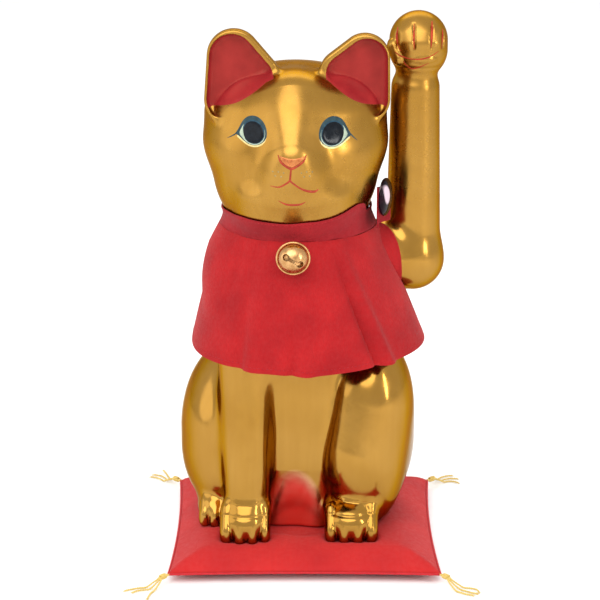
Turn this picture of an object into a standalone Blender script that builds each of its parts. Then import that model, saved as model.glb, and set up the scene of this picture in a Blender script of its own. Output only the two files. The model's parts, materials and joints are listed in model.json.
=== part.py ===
"""Beckoning cat figurine: a hollow gold-plated ceramic cat in a red bib with a bell, on a small square cushion.

Lengths are in millimetres and are turned into metres when a mesh is made. The cat looks towards -Y, its raised
paw is on +X, and the cushion's underside rests on z = 0. The ceramic forms are one smooth field built up from
swept ellipsoids and limbs, which is negative inside the clay and is turned into a mesh by surface_net().
"""

import math

import bmesh
import bpy
import numpy as np
from mathutils import Matrix, Vector

MM = 0.001
GAP = 0.3  # running gap between neighbouring solids

# Driving dimensions
SEAT_Z = 20.0  # underside of the figure
WALL = 7.0  # wall of the slip casting
EAR_RIM = 5.5  # width of the rim round the red inside of an ear
EAR_HALF = 8.0  # half the thickness of an ear
EAR_ROUND = 3.0  # rounding of the rim
EAR_BACK_ROUND = 7.8
CUSHION_HALF = 118.0  # from the centre to a corner tip, along X and Y
CUSHION_TOP = SEAT_Z - GAP
CUSHION_PULL = 0.035  # how far a side pulls in between two corners, as a share of the half width
CUSHION_FLAT = 0.80  # share of the half width where the cushion lies flat
SEAM_Z = 8.0
CLOTH = 1.2
BIB_CLOTH = 1.4
COLLAR_BOTTOM = 288.0
COLLAR_TOP = 310.5
HEM_Z = 179.0
BELL_CENTRE = Vector((-9.6, -83.4, 279.0))
BELL_R = 12.4
BELL_WALL = 0.8
BELL_ROLL = 27.0  # degrees that the slot leans
BUTTON_CENTRE = Vector((70.2, -24.0, 317.5))
BUTTON_AXIS = Vector((0.96, -0.28, 0.0)).normalized()
BUTTON_R = 16.5
BODY_KEEP = 0.05  # share of the triangles that the thinned body surface keeps
STOPPER_XY = (-3.0, 18.0)
STOPPER_R = 15.0
RECESS = 10.0  # depth of the hollow inside the foot ring
STRAND_D = 1.7
KNOT_R = 3.4

for thing in list(bpy.data.objects):
    bpy.data.objects.remove(thing)


# ---------------------------------------------------------------- materials and mesh helpers

def material(name, colour, roughness, metallic=0.0):
    mat = bpy.data.materials.new(name)
    mat.use_nodes = True
    shader = mat.node_tree.nodes["Principled BSDF"]
    shader.inputs["Base Color"].default_value = (*colour, 1.0)
    shader.inputs["Roughness"].default_value = roughness
    shader.inputs["Metallic"].default_value = metallic
    return mat


GOLD = material("gold_plate", (0.78, 0.48, 0.13), 0.08, 1.0)
GOLD_ARM = material("gold_plate_arm", (0.80, 0.50, 0.14), 0.08, 1.0)
RED_CREPE = material("bib_red", (0.58, 0.02, 0.025), 0.85)
RED_BAND = material("collar_red", (0.42, 0.015, 0.02), 0.85)
RED_FLAP = material("flap_red", (0.50, 0.02, 0.03), 0.85)
RED_SATIN = material("cushion_red", (0.72, 0.035, 0.03), 0.75)
RED_UNDER = material("cushion_under_red", (0.60, 0.03, 0.03), 0.8)
COTTON = material("cotton_filling", (0.85, 0.83, 0.78), 0.95)
BRASS = material("bell_gilt", (0.70, 0.45, 0.16), 0.25, 1.0)
BRASS_RING = material("bell_ring_gilt", (0.62, 0.40, 0.15), 0.3, 1.0)
STEEL = material("pellet_steel", (0.5, 0.5, 0.5), 0.3, 1.0)
THREAD = material("red_thread", (0.5, 0.02, 0.02), 0.8)
DARK_GLOSS = material("button_dark", (0.02, 0.008, 0.02), 0.08)
SHANK_METAL = material("button_shank_metal", (0.6, 0.58, 0.55), 0.3, 1.0)
RUBBER = material("stopper_rubber", (0.05, 0.05, 0.05), 0.7)
CORD_GOLD = material("tassel_gold", (0.66, 0.50, 0.18), 0.7)


def add_object(name, mesh, mat, smooth=40.0):
    obj = bpy.data.objects.new(name, mesh)
    bpy.context.scene.collection.objects.link(obj)
    mesh.materials.append(mat)
    mesh.shade_smooth()
    if smooth < 180.0:
        mesh.set_sharp_from_angle(angle=math.radians(smooth))
    return obj


def mesh_from(name, points, faces):
    mesh = bpy.data.meshes.new(name)
    mesh.from_pydata((np.asarray(points, float) * MM).tolist(), [], [list(map(int, f)) for f in faces])
    return mesh


def as_cutter(obj):
    obj.hide_render = True
    obj.display_type = "WIRE"
    return obj


def boolean(obj, cutter, operation="DIFFERENCE"):
    mod = obj.modifiers.new("cut_" + cutter.name, "BOOLEAN")
    mod.operation = operation
    mod.object = cutter
    return mod


def turned(name, profile, mat, segments=24, place=None, smooth=40.0):
    """A closed turned solid from (radius, height) pairs whose ends lie on the axis or meet."""
    bm = bmesh.new()
    ring = [bm.verts.new((r * MM, 0.0, h * MM)) for r, h in profile]
    edges = [bm.edges.new(pair) for pair in zip(ring, ring[1:])]
    if profile[0][0] > 0.0:
        edges.append(bm.edges.new((ring[-1], ring[0])))
    bmesh.ops.spin(bm, geom=ring + edges, axis=(0, 0, 1), cent=(0, 0, 0), steps=segments, angle=math.tau)
    bmesh.ops.remove_doubles(bm, verts=bm.verts, dist=0.00001)
    bmesh.ops.recalc_face_normals(bm, faces=bm.faces)
    mesh = bpy.data.meshes.new(name)
    bm.to_mesh(mesh)
    bm.free()
    obj = add_object(name, mesh, mat, smooth)
    if place is not None:
        obj.matrix_world = place
    return obj


def facing(centre, axis, roll=0.0):
    """The place of a turned piece whose +Z runs along axis, rolled about that axis by roll degrees."""
    turn = Vector(axis).to_track_quat("Z", "Y").to_matrix().to_4x4()
    return Matrix.Translation(Vector(centre) * MM) @ turn @ Matrix.Rotation(math.radians(roll), 4, "Z")


# ---------------------------------------------------------------- the clay forms

def swept(p, start, end, radii):
    """Distance to an ellipsoid with these radii that is swept from start to end."""
    radii = np.asarray(radii, np.float32)
    run = (np.asarray(end, np.float32) - np.asarray(start, np.float32)) / radii
    q = (p - np.asarray(start, np.float32)) / radii
    length = float(run @ run)
    if length > 0.0:
        q = q - np.clip(q @ run / length, 0.0, 1.0)[..., None] * run
    k0 = np.maximum(np.linalg.norm(q, axis=-1), 1e-4)
    k1 = np.maximum(np.linalg.norm(q / radii, axis=-1), 1e-4 / radii.max())
    return k0 * (k0 - 1.0) / k1


def limb(p, start, end, start_r, end_r):
    """Distance to a round bar that tapers from start_r to end_r."""
    start = np.asarray(start, np.float32)
    run = np.asarray(end, np.float32) - start
    t = np.clip((p - start) @ run / (run @ run), 0.0, 1.0)
    return np.linalg.norm(p - start - t[..., None] * run, axis=-1) - (start_r + (end_r - start_r) * t)


def blend(a, b, width):
    """Joins two forms with a soft fillet of this width."""
    h = np.maximum(width - np.abs(a - b), 0.0) / width
    return np.minimum(a, b) - h * h * width * 0.25


def carve(a, cut, width):
    """Takes the cutting form out of a, with its edge rounded by this width."""
    return -blend(-a, cut, width)


HEAD_X = -7.6
LEFT_EAR = dict(tip=(-59.5, -28, 441, 22.7), outer=(-62, -26, 404, 22.8), inner=(-43.5, -26, 421.8, 23))
RIGHT_EAR = dict(tip=(51, -24, 438, 21.2), outer=(50, -22, 404, 22.6), inner=(33.5, -22, 424.6, 21.2))


def head(p):
    d = swept(p, (HEAD_X, -8, 330), (HEAD_X, -8, 346), (69, 61, 52))
    d = blend(d, swept(p, (HEAD_X, -2, 368), (HEAD_X, 4, 386), (78.6, 66, 44)), 24)
    d = blend(d, swept(p, (-15, -68, 345), (-4, -68, 345), (18, 18, 16)), 18)
    d = blend(d, swept(p, (-8.5, -40, 304), (-9.5, -50, 326), (44, 29, 18)), 14)
    return blend(d, limb(p, (-9, -37, 404), (-9.5, -74, 366), 22, 13), 22)


def ear_outline(p, tip, outer, inner):
    """The ear's rounded triangle as seen from the front, through a round of its own at each corner."""
    flat = p.copy()
    flat[..., 1] = 0.0
    spots = [np.array((x, 0.0, z), np.float32) for x, _, z, _ in (tip, outer, inner)]
    outer_side = limb(flat, spots[1], spots[0], outer[3], tip[3])
    inner_side = limb(flat, spots[2], spots[0], inner[3], tip[3])
    lower_side = limb(flat, spots[1], spots[2], outer[3], inner[3])
    return np.minimum(np.minimum(outer_side, inner_side), lower_side)


def ear(p, tip, outer, inner):
    """A rounded plate with the ear's outline, scooped out in front inside its rim."""
    middle_y = (tip[1] + outer[1] + inner[1]) / 3
    outline = ear_outline(p, tip, outer, inner)
    rounding = np.where(p[..., 1] > middle_y, EAR_BACK_ROUND, EAR_ROUND)
    across = outline + rounding
    along = np.abs(p[..., 1] - middle_y) - EAR_HALF + rounding
    beyond = np.hypot(np.maximum(across, 0), np.maximum(along, 0))
    d = beyond - rounding + np.minimum(np.maximum(across, along), 0)
    return carve(d, carve(outline + EAR_RIM, middle_y + 2 - p[..., 1], 8), 1.5)


def foot(p, x, y, width):
    d = swept(p, (x, y + 4, SEAT_Z + 15), (x, y + 14, SEAT_Z + 17), (width, 23, 19))
    for place in (-1.5, -0.5, 0.5, 1.5):
        toe_x = x + place * width * 0.5
        toe_y = y - 12 + abs(place) * 2.4
        start = (toe_x, toe_y + 9, SEAT_Z + 18)
        d = blend(d, swept(p, start, (toe_x, toe_y + 1, SEAT_Z + 8), (width * 0.27, 9, 13)), 4)
    return d


def trunk(p):
    """Belly, chest, neck, back, haunches and legs, without feet or head."""
    d = swept(p, (-3, 10, 20), (-3, 6, 240), (52, 52, 40))
    d = blend(d, swept(p, (-4, 8, 215), (-5, 2, 262), (71, 64, 58)), 30)
    d = blend(d, swept(p, (-6, 0, 290), (-7, 0, 330), (58, 56, 30)), 20)
    d = blend(d, swept(p, (-4, 34, 88), (-4, 30, 130), (90, 56, 66)), 34)
    d = blend(d, swept(p, (-64, 14, 84), (-64, 14, 100), (46, 56, 66)), 22)
    d = blend(d, swept(p, (-46, -14, 222), (-46, -14, 240), (36, 36, 40)), 24)
    d = blend(d, limb(p, (-51, -30, 215), (-50, -54, 48), 26, 18.5), 16)
    d = blend(d, swept(p, (51, -20, 84), (57, -14, 128), (39.5, 48, 66)), 8)
    return blend(d, swept(p, (54, 24, 84), (54, 24, 96), (44, 50, 66)), 20)


def tail(p):
    """A short tail curled round the back onto the viewer's left haunch."""
    d = limb(p, (18, 84, 46), (-22, 90, 44), 13, 13)
    d = blend(d, limb(p, (-22, 90, 44), (-62, 74, 50), 13, 12), 8)
    return blend(d, limb(p, (-62, 74, 50), (-86, 50, 60), 12, 10), 8)


def body_form(p):
    d = trunk(p)
    d = blend(d, swept(p, (-80, -14, 34), (-80, 6, 36), (15.5, 24, 17)), 8)
    d = blend(d, tail(p), 8)
    d = blend(d, foot(p, -51, -62, 22.5), 12)
    d = blend(d, foot(p, 40.5, -60, 23.5), 12)
    d = blend(d, head(p), 8)
    d = blend(d, ear(p, **LEFT_EAR), 5)
    d = blend(d, ear(p, **RIGHT_EAR), 5)
    return carve(d, p[..., 2] - SEAT_Z, 3)


def core_form(p):
    """The hollow inside the casting: the main forms, one wall smaller, above the floor of the foot ring."""
    d = blend(trunk(p), head(p), 8) + WALL
    return carve(d, p[..., 2] - (SEAT_Z + RECESS + WALL), 3)


def arm_form(p):
    d = limb(p, (95.5, 28, 250), (96, 22, 404), 24.5, 21)
    d = blend(d, limb(p, (95.5, 28, 250), (50, 14, 258), 24.5, 32), 14)
    d = blend(d, swept(p, (98.0, 18, 438), (98.0, 18, 446), (25.2, 23, 25.5)), 8)
    d = blend(d, swept(p, (99, 5, 446), (99, 8, 452), (20, 11, 9)), 5)
    d = blend(d, swept(p, (76.5, 9, 443), (80, 6, 433), (6, 8, 7)), 3)
    return blend(d, swept(p, (100, 3.5, 433), (100, 3.5, 433), (14, 9, 6)), 3)


def slope(form, p, step=0.5):
    """The direction in which a form's distance grows, as unit vectors."""
    grad = np.empty_like(p)
    for axis in range(3):
        shift = np.zeros(3, np.float32)
        shift[axis] = step
        grad[..., axis] = form(p + shift) - form(p - shift)
    return grad / np.maximum(np.linalg.norm(grad, axis=-1, keepdims=True), 1e-9)


def surface_net(form, low, high, step):
    """The form's surface as quads: one point in each grid cell that the surface passes through."""
    axes = [np.arange(low[i], high[i] + step, step, dtype=np.float32) for i in range(3)]
    grid = np.stack(np.meshgrid(*axes, indexing="ij"), axis=-1)
    value = form(grid)
    cells = tuple(n - 1 for n in value.shape)
    total = np.zeros(cells + (3,), np.float32)
    count = np.zeros(cells, np.int32)
    crossings = []
    for axis in range(3):
        near = [slice(None)] * 3
        far = [slice(None)] * 3
        near[axis], far[axis] = slice(0, -1), slice(1, None)
        near, far = tuple(near), tuple(far)
        crossed = (value[near] < 0) != (value[far] < 0)
        share = value[near] / np.where(crossed, value[near] - value[far], 1.0)
        point = grid[near] + (grid[far] - grid[near]) * share[..., None]
        crossings.append((crossed, value[near] < 0))
        b, c = [i for i in range(3) if i != axis]
        for shift_b in (0, 1):
            for shift_c in (0, 1):
                part = [slice(None)] * 3
                part[b] = slice(shift_b, shift_b + cells[b])
                part[c] = slice(shift_c, shift_c + cells[c])
                part = tuple(part)
                total += np.where(crossed[part][..., None], point[part], 0.0)
                count += crossed[part]
    used = count > 0
    number = np.full(cells, -1, np.int64)
    number[used] = np.arange(int(used.sum()))
    points = total[used] / count[used][:, None]
    faces = []
    for axis, (crossed, starts_inside) in enumerate(crossings):
        b, c = [(1, 2), (2, 0), (0, 1)][axis]
        where = np.argwhere(crossed)
        inner = (where[:, b] > 0) & (where[:, c] > 0)
        where = where[inner & (where[:, b] < cells[b]) & (where[:, c] < cells[c])]
        corners = []
        for shift_b, shift_c in ((1, 1), (0, 1), (0, 0), (1, 0)):
            cell = where.copy()
            cell[:, b] -= shift_b
            cell[:, c] -= shift_c
            corners.append(number[tuple(cell.T)])
        quad = np.stack(corners, axis=1)
        flip = ~starts_inside[tuple(where.T)]
        quad[flip] = quad[flip][:, ::-1]
        faces.append(quad)
    for _ in range(3):
        points = points - form(points)[:, None] * slope(form, points) * 0.9
    return points, np.concatenate(faces)


def cast(name, form, low, high, step, keep, mat):
    """A clay form as an object whose surface keeps this share of its triangles."""
    points, faces = surface_net(form, low, high, step)
    obj = add_object(name, mesh_from(name, points, faces), mat, 180.0)
    thin = obj.modifiers.new("thin_out", "DECIMATE")
    thin.ratio = keep
    return obj


def settle(points, forms, margin):
    """Moves cloth points outwards until they are at least margin clear of every form."""
    points = np.asarray(points, np.float32)
    for _ in range(6):
        for form in forms:
            short = np.maximum(margin - form(points), 0.0)
            points = points + slope(form, points) * short[..., None]
    return points


# ---------------------------------------------------------------- the ceramic figure

def figure():
    body = cast("body_casting", body_form, (-118, -96, 12), (106, 108, 472), 3.0, BODY_KEEP, GOLD)
    core = as_cutter(cast("core_cutter", core_form, (-112, -90, 30), (100, 100, 436), 7.0, 0.16, GOLD))
    x, y = STOPPER_XY
    recess = turned("recess_cutter", [(0, 12), (46, 12), (46, SEAT_Z + RECESS), (0, SEAT_Z + RECESS)], GOLD, 32,
                    Matrix.Translation((x * MM, y * MM, 0)))
    top = SEAT_Z + RECESS + WALL + 6
    hole = [(0, SEAT_Z + 2), (STOPPER_R, SEAT_Z + 2), (STOPPER_R, top), (0, top)]
    vent = turned("vent_cutter", hole, GOLD, 24,
                  Matrix.Translation((x * MM, y * MM, 0)))
    for cutter in (core, as_cutter(recess), as_cutter(vent)):
        boolean(body, cutter)
    skin = as_cutter(bpy.data.objects.new("body_skin_cutter", body.data))
    bpy.context.scene.collection.objects.link(skin)
    skin.modifiers.new("thin_out", "DECIMATE").ratio = BODY_KEEP
    swell = skin.modifiers.new("swell", "DISPLACE")
    swell.strength = (GAP + 0.05) * MM
    swell.mid_level = 0.0
    arm = cast("raised_arm", arm_form, (8, -24, 206), (132, 66, 482), 3.0, 0.14, GOLD_ARM)
    boolean(arm, skin)

    floor = SEAT_Z + RECESS
    plug = [(0, floor - 2.5), (20, floor - 2.5), (20, floor - GAP), (STOPPER_R - 0.6, floor - GAP),
            (STOPPER_R - 1.0, floor + WALL), (STOPPER_R - 3, floor + WALL + 2), (0, floor + WALL + 2)]
    turned("base_stopper", plug, RUBBER, 24, Matrix.Translation((x * MM, y * MM, 0)))


# ---------------------------------------------------------------- the cushion

def cushion_point(u, v, z):
    x = CUSHION_HALF * u * (1 - CUSHION_PULL * (1 - v * v))
    y = CUSHION_HALF * v * (1 - CUSHION_PULL * (1 - u * u))
    return (x, y, z)


def swell_share(u, v, power):
    """1 where the cushion lies flat, falling to 0 at its seam."""
    out = max(abs(u), abs(v))
    edge = max(0.0, (out - CUSHION_FLAT) / (1 - CUSHION_FLAT))
    return 1.0 - edge ** power


def slab(name, reach, lower, upper, mat):
    """A closed pad between two height functions of (u, v), each from -reach to reach."""
    half = [0.0, CUSHION_FLAT / 2, CUSHION_FLAT, (CUSHION_FLAT + reach) / 2, reach]
    spread = [-u for u in half[:0:-1]] + half
    steps = len(spread) - 1
    points, faces = [], []
    for height in (upper, lower):
        points += [cushion_point(u, v, height(u, v)) for v in spread for u in spread]
    row, layer = steps + 1, (steps + 1) ** 2
    for j in range(steps):
        for i in range(steps):
            a = j * row + i
            quad = (a, a + 1, a + row + 1, a + row)
            faces.append(quad)
            faces.append(tuple(layer + k for k in reversed(quad)))
    rim = [i for i in range(row)] + [j * row + steps for j in range(1, row)]
    rim += [steps * row + i for i in range(steps - 1, -1, -1)] + [j * row for j in range(steps - 1, 0, -1)]
    for a, b in zip(rim, rim[1:] + rim[:1]):
        faces.append((b, a, layer + a, layer + b))
    return add_object(name, mesh_from(name, points, faces), mat, 50.0)


def cushion():
    top_edge = SEAM_Z + GAP / 2
    low_edge = SEAM_Z - GAP / 2

    def top_out(u, v):
        return top_edge + CLOTH + (CUSHION_TOP - top_edge - CLOTH) * swell_share(u, v, 2.4)

    def low_out(u, v):
        return (low_edge - CLOTH) * (1 - swell_share(u, v, 2.0))

    slab("cushion_top_panel", 1.0, lambda u, v: top_out(u, v) - CLOTH, top_out, RED_SATIN)
    slab("cushion_bottom_panel", 1.0, low_out, lambda u, v: low_out(u, v) + CLOTH, RED_UNDER)
    slack = 2.0  # between the filling and the cloth round it

    def fill_top(u, v):
        return top_out(u, v) - CLOTH - slack

    def fill_low(u, v):
        return low_out(u, v) + CLOTH + slack

    slab("cushion_filling", 0.9, fill_low, fill_top, COTTON)


# ---------------------------------------------------------------- the corner tassels

# Each strand's route from its knot to its free end: points on the surface that the cushion rests on.
STRAND_Z = STRAND_D / 2 + 0.15
TASSELS = {
    "front_left": [
        [(-124.6, -124.4, 7.2), (-129.4, -125.6, 4.2), (-134.6, -127.0, STRAND_Z),
         (-141.0, -129.2, STRAND_Z), (-147.0, -131.8, STRAND_Z), (-152.3, -134.8, STRAND_Z)],
        [(-123.4, -125.8, 7.2), (-127.4, -128.6, 3.8), (-131.6, -131.4, STRAND_Z),
         (-136.2, -133.2, STRAND_Z), (-141.0, -134.8, STRAND_Z), (-145.6, -138.6, STRAND_Z)],
        [(-122.0, -127.0, 7.2), (-124.6, -130.8, 3.8), (-127.4, -134.4, STRAND_Z),
         (-130.0, -139.8, STRAND_Z), (-131.4, -146.0, STRAND_Z), (-132.4, -152.6, STRAND_Z)],
    ],
    "front_right": [
        [(124.6, -124.4, 7.2), (130.0, -126.2, 3.8), (135.6, -128.0, STRAND_Z),
         (141.4, -129.6, STRAND_Z), (146.2, -132.6, STRAND_Z), (147.8, -137.8, STRAND_Z)],
        [(123.4, -125.8, 7.2), (127.8, -129.2, 3.6), (132.6, -132.4, STRAND_Z),
         (137.2, -136.2, STRAND_Z), (141.8, -139.6, STRAND_Z), (146.0, -141.4, STRAND_Z)],
        [(122.0, -127.0, 7.2), (125.2, -131.6, 3.6), (128.6, -135.6, STRAND_Z),
         (132.4, -139.4, STRAND_Z), (136.8, -142.6, STRAND_Z), (142.2, -145.0, STRAND_Z)],
    ],
    "back_left": [
        [(-124.6, 124.4, 7.2), (-129.4, 129.0, 4.0), (-133.2, 134.4, STRAND_Z),
         (-137.0, 139.4, STRAND_Z), (-141.2, 143.2, STRAND_Z), (-146.4, 145.8, STRAND_Z)],
        [(-123.4, 125.8, 7.2), (-127.2, 131.2, 3.8), (-130.4, 137.2, STRAND_Z),
         (-133.4, 143.6, STRAND_Z), (-137.6, 149.0, STRAND_Z), (-144.0, 151.6, STRAND_Z)],
        [(-122.0, 127.0, 7.2), (-124.6, 132.8, 3.8), (-127.2, 139.0, STRAND_Z),
         (-129.8, 146.4, STRAND_Z), (-132.2, 154.6, STRAND_Z), (-135.4, 164.0, STRAND_Z)],
    ],
    "back_right": [
        [(124.6, 124.4, 7.2), (129.2, 128.0, 4.0), (133.4, 131.6, STRAND_Z),
         (137.8, 133.4, STRAND_Z), (142.4, 132.6, STRAND_Z), (146.8, 129.4, STRAND_Z)],
        [(123.4, 125.8, 7.2), (127.0, 130.8, 3.8), (130.6, 135.8, STRAND_Z),
         (135.0, 139.2, STRAND_Z), (140.2, 141.0, STRAND_Z), (146.0, 140.8, STRAND_Z)],
        [(122.0, 127.0, 7.2), (124.4, 132.8, 3.8), (127.2, 138.8, STRAND_Z),
         (130.8, 144.0, STRAND_Z), (135.6, 147.6, STRAND_Z), (141.6, 149.4, STRAND_Z)],
    ],
}
STRAND_STEPS = 3  # pieces of a strand between two points of its route


def smooth_route(route, steps):
    """Points along a Catmull-Rom curve through the route."""
    pts = [Vector(p) for p in route]
    pts = [2 * pts[0] - pts[1]] + pts + [2 * pts[-1] - pts[-2]]
    out = []
    for a, b, c, d in zip(pts, pts[1:], pts[2:], pts[3:]):
        for i in range(steps):
            t = i / steps
            out.append(0.5 * (2 * b + (c - a) * t + (2 * a - 5 * b + 4 * c - d) * t ** 2
                              + (3 * b - a - 3 * c + d) * t ** 3))
    return out + [pts[-2]]


def cord(name, points, diameter, mat):
    curve = bpy.data.curves.new(name, "CURVE")
    curve.dimensions = "3D"
    curve.bevel_depth = diameter / 2 * MM
    curve.bevel_resolution = 2
    curve.use_fill_caps = True
    spline = curve.splines.new("POLY")
    spline.points.add(len(points) - 1)
    for slot, point in zip(spline.points, points):
        slot.co = (*(Vector(point) * MM), 1.0)
    curve.materials.append(mat)
    obj = bpy.data.objects.new(name, curve)
    bpy.context.scene.collection.objects.link(obj)
    return obj


def tassels():
    arc = [(KNOT_R * math.sin(math.pi * i / 8), -KNOT_R * math.cos(math.pi * i / 8)) for i in range(9)]
    arc[0], arc[-1] = (0.0, -KNOT_R), (0.0, KNOT_R)
    for corner, strands in TASSELS.items():
        side_x = -1 if "left" in corner else 1
        side_y = -1 if "front" in corner else 1
        reach = CUSHION_HALF + (KNOT_R + 0.5) / math.sqrt(2)
        place = Matrix.Translation((side_x * reach * MM, side_y * reach * MM, SEAM_Z * MM))
        turned("tassel_knot_" + corner, arc, CORD_GOLD, 12, place, 180.0)
        for number, route in enumerate(strands, 1):
            points = smooth_route(route, STRAND_STEPS)
            cord(f"tassel_strand_{corner}_{number}", points, STRAND_D, CORD_GOLD)


# ---------------------------------------------------------------- the bib and its fastening

BIB_CENTRE = (-5.0, 0.0)
BIB_ANGLE = 96.0  # degrees from the front to each side edge


def bib_radii(t, side):
    """Half width and depth of the bib's outline, from its top edge (t = 0) to its hem (t = 1)."""
    half_width = 64 + (30 if side < 0 else 44) * t ** 0.85
    depth = 66 + 26 * t ** 0.8
    return half_width, depth


def cloth_grid(name, columns, rows, place, forms, margin, mat, thickness):
    points = np.array([place(i / columns, j / rows) for j in range(rows + 1) for i in range(columns + 1)])
    points = settle(points, forms, margin)
    row = columns + 1
    faces = [(j * row + i, (j + 1) * row + i, (j + 1) * row + i + 1, j * row + i + 1)
             for j in range(rows) for i in range(columns)]
    obj = add_object(name, mesh_from(name, points, faces), mat, 50.0)
    solid = obj.modifiers.new("cloth", "SOLIDIFY")
    solid.thickness = thickness * MM
    solid.offset = 1.0
    return obj


def bib():
    def panel(s, t):
        side = 2 * s - 1
        angle = math.radians(BIB_ANGLE * side)
        half_width, depth = bib_radii(t, side)
        z = COLLAR_BOTTOM - GAP + (HEM_Z + 10 * abs(side) ** 2 - COLLAR_BOTTOM) * t
        return (BIB_CENTRE[0] + half_width * math.sin(angle), BIB_CENTRE[1] - depth * math.cos(angle), z)

    cloth_grid("bib_panel", 24, 8, panel, (body_form, arm_form), 3.0, RED_CREPE, BIB_CLOTH)

    def band(s, t):
        angle = math.radians(-225.0 + 322.0 * s)
        degrees = math.degrees(angle)
        rise = 8.0 * min(max(min((degrees - 12) / 38, (66 - degrees) / 8), 0.0), 1.0)
        rise -= 2.5 * min(max((abs(degrees) - 40) / 30, 0.0), 1.0)
        z = COLLAR_TOP + rise * (1 - t) + (COLLAR_BOTTOM - COLLAR_TOP) * t
        return (-6 + 62.5 * math.sin(angle), -2 - 62.0 * math.cos(angle), z)

    cloth_grid("collar_band", 36, 2, band, (body_form,), 1.0, RED_BAND, BIB_CLOTH)

    def flap(s, t):
        flare = 12.0 * max(0.0, s - 0.45) ** 1.5 / 0.41
        return (62.0 + flare, -34.0 + 32.0 * s, 292.0 + (36.0 - 6.0 * s) * (1 - t))

    cloth_grid("collar_flap", 6, 4, flap, (body_form, arm_form), 0.8, RED_FLAP, BIB_CLOTH)


def button():
    dome = [(0, 4.0), (6.8, 3.6), (12, 2.3), (15.2, 0.6), (BUTTON_R, -1.4), (15.6, -3.0), (12, -3.6), (0, -3.6)]
    place = facing(BUTTON_CENTRE, BUTTON_AXIS)
    turned("collar_button", dome, DARK_GLOSS, 28, place, 60.0)
    shank = facing(BUTTON_CENTRE - BUTTON_AXIS * (3.6 + GAP), -BUTTON_AXIS)
    turned("button_shank", [(0, 0), (2.2, 0), (2.2, 1.2), (0, 1.2)], SHANK_METAL, 12, shank)


# ---------------------------------------------------------------- the bell

def bell():
    forward = Vector((0, -1, 0))
    dome = 10.5  # depth of the front half, and of the back half with its flattened pole
    rings = 6

    def half(name, depth, axis, mat):
        outer = [(BELL_R * math.cos(a), depth * math.sin(a)) for a in np.linspace(0, math.pi / 2, rings + 1)]
        inner_r, inner_d = BELL_R - BELL_WALL, depth - BELL_WALL
        inner = [(inner_r * math.cos(a), inner_d * math.sin(a)) for a in np.linspace(math.pi / 2, 0, rings + 1)]
        outer[-1], inner[0] = (0.0, depth), (0.0, inner_d)
        profile = inner + outer
        bm = bmesh.new()
        verts = [bm.verts.new((r * MM, 0.0, (h + GAP / 2) * MM)) for r, h in profile]
        edges = [bm.edges.new(pair) for pair in zip(verts, verts[1:])]
        bmesh.ops.spin(bm, geom=verts + edges, axis=(0, 0, 1), cent=(0, 0, 0), steps=20, angle=math.tau)
        bmesh.ops.remove_doubles(bm, verts=bm.verts, dist=0.00001)
        bmesh.ops.recalc_face_normals(bm, faces=bm.faces)
        mesh = bpy.data.meshes.new(name)
        bm.to_mesh(mesh)
        bm.free()
        obj = add_object(name, mesh, mat, 50.0)
        obj.matrix_world = facing(BELL_CENTRE, axis)
        return obj

    front = half("bell_front_shell", dome, forward, BRASS)
    half("bell_back_shell", dome - 2.5, -forward, BRASS)
    lean = math.radians(BELL_ROLL)
    along = Vector((math.cos(lean), 0, -math.sin(lean)))
    for side in (-1, 1):
        hole = turned(f"slot_hole_cutter_{side + 1}", [(0, 0), (2.3, 0), (2.3, 16), (0, 16)], BRASS, 12,
                      facing(BELL_CENTRE + along * 6.8 * side + forward * 3, forward))
        boolean(front, as_cutter(hole))
    slit_mesh = bpy.data.meshes.new("slot_cutter")
    bm = bmesh.new()
    bmesh.ops.create_cube(bm, size=1.0)
    bmesh.ops.scale(bm, vec=Vector((13.6, 12.0, 2.2)) * MM, verts=bm.verts)
    bm.to_mesh(slit_mesh)
    bm.free()
    slit = add_object("slot_cutter", slit_mesh, BRASS)
    slit.matrix_world = (Matrix.Translation((BELL_CENTRE + forward * 10) * MM)
                         @ Matrix.Rotation(lean, 4, "Y"))
    boolean(front, as_cutter(slit))

    inner, outer, half_width = BELL_R + GAP, 14.6, 0.9
    band = [(inner, -half_width), (outer, -half_width), (outer, half_width), (inner, half_width)]
    turned("bell_girdle_ring", band,
           BRASS_RING, 28, facing(BELL_CENTRE, forward))
    pellet_r = 3.0
    arc = [(pellet_r * math.sin(math.pi * i / 8), -pellet_r * math.cos(math.pi * i / 8)) for i in range(9)]
    arc[0], arc[-1] = (0.0, -pellet_r), (0.0, pellet_r)
    rest = BELL_CENTRE + Vector((0, 0, -(BELL_R - BELL_WALL - pellet_r - 0.5)))
    turned("bell_pellet", arc, STEEL, 12, Matrix.Translation(rest * MM), 180.0)

    back = BELL_CENTRE - forward * (dome - 2.5 + GAP / 2)
    loop_r = 2.0
    ring = []
    for i in range(13):
        angle = math.pi * (i / 12)
        ring.append(back + Vector((0, GAP + loop_r * math.sin(angle), loop_r * math.cos(angle))))
    cord("bell_loop", ring, 0.8, BRASS_RING)
    thread = []
    for i in range(9):
        angle = math.pi * i / 8
        thread.append(back + Vector((1.6 * math.cos(angle), 3.6 - 2.4 * math.sin(angle), 0)))
    cord("bell_thread", thread, 0.5, THREAD)


figure()
cushion()
tassels()
bib()
button()
bell()
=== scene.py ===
"""The finished look of the beckoning cat figurine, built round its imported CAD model.

Shapes are worked out in millimetres and turned into metres when a mesh is made. The gilded ceramic is one
smooth field, negative inside the clay, that surface_net() turns into a mesh. Bib and cushion are cloth.
"""

import math

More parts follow.
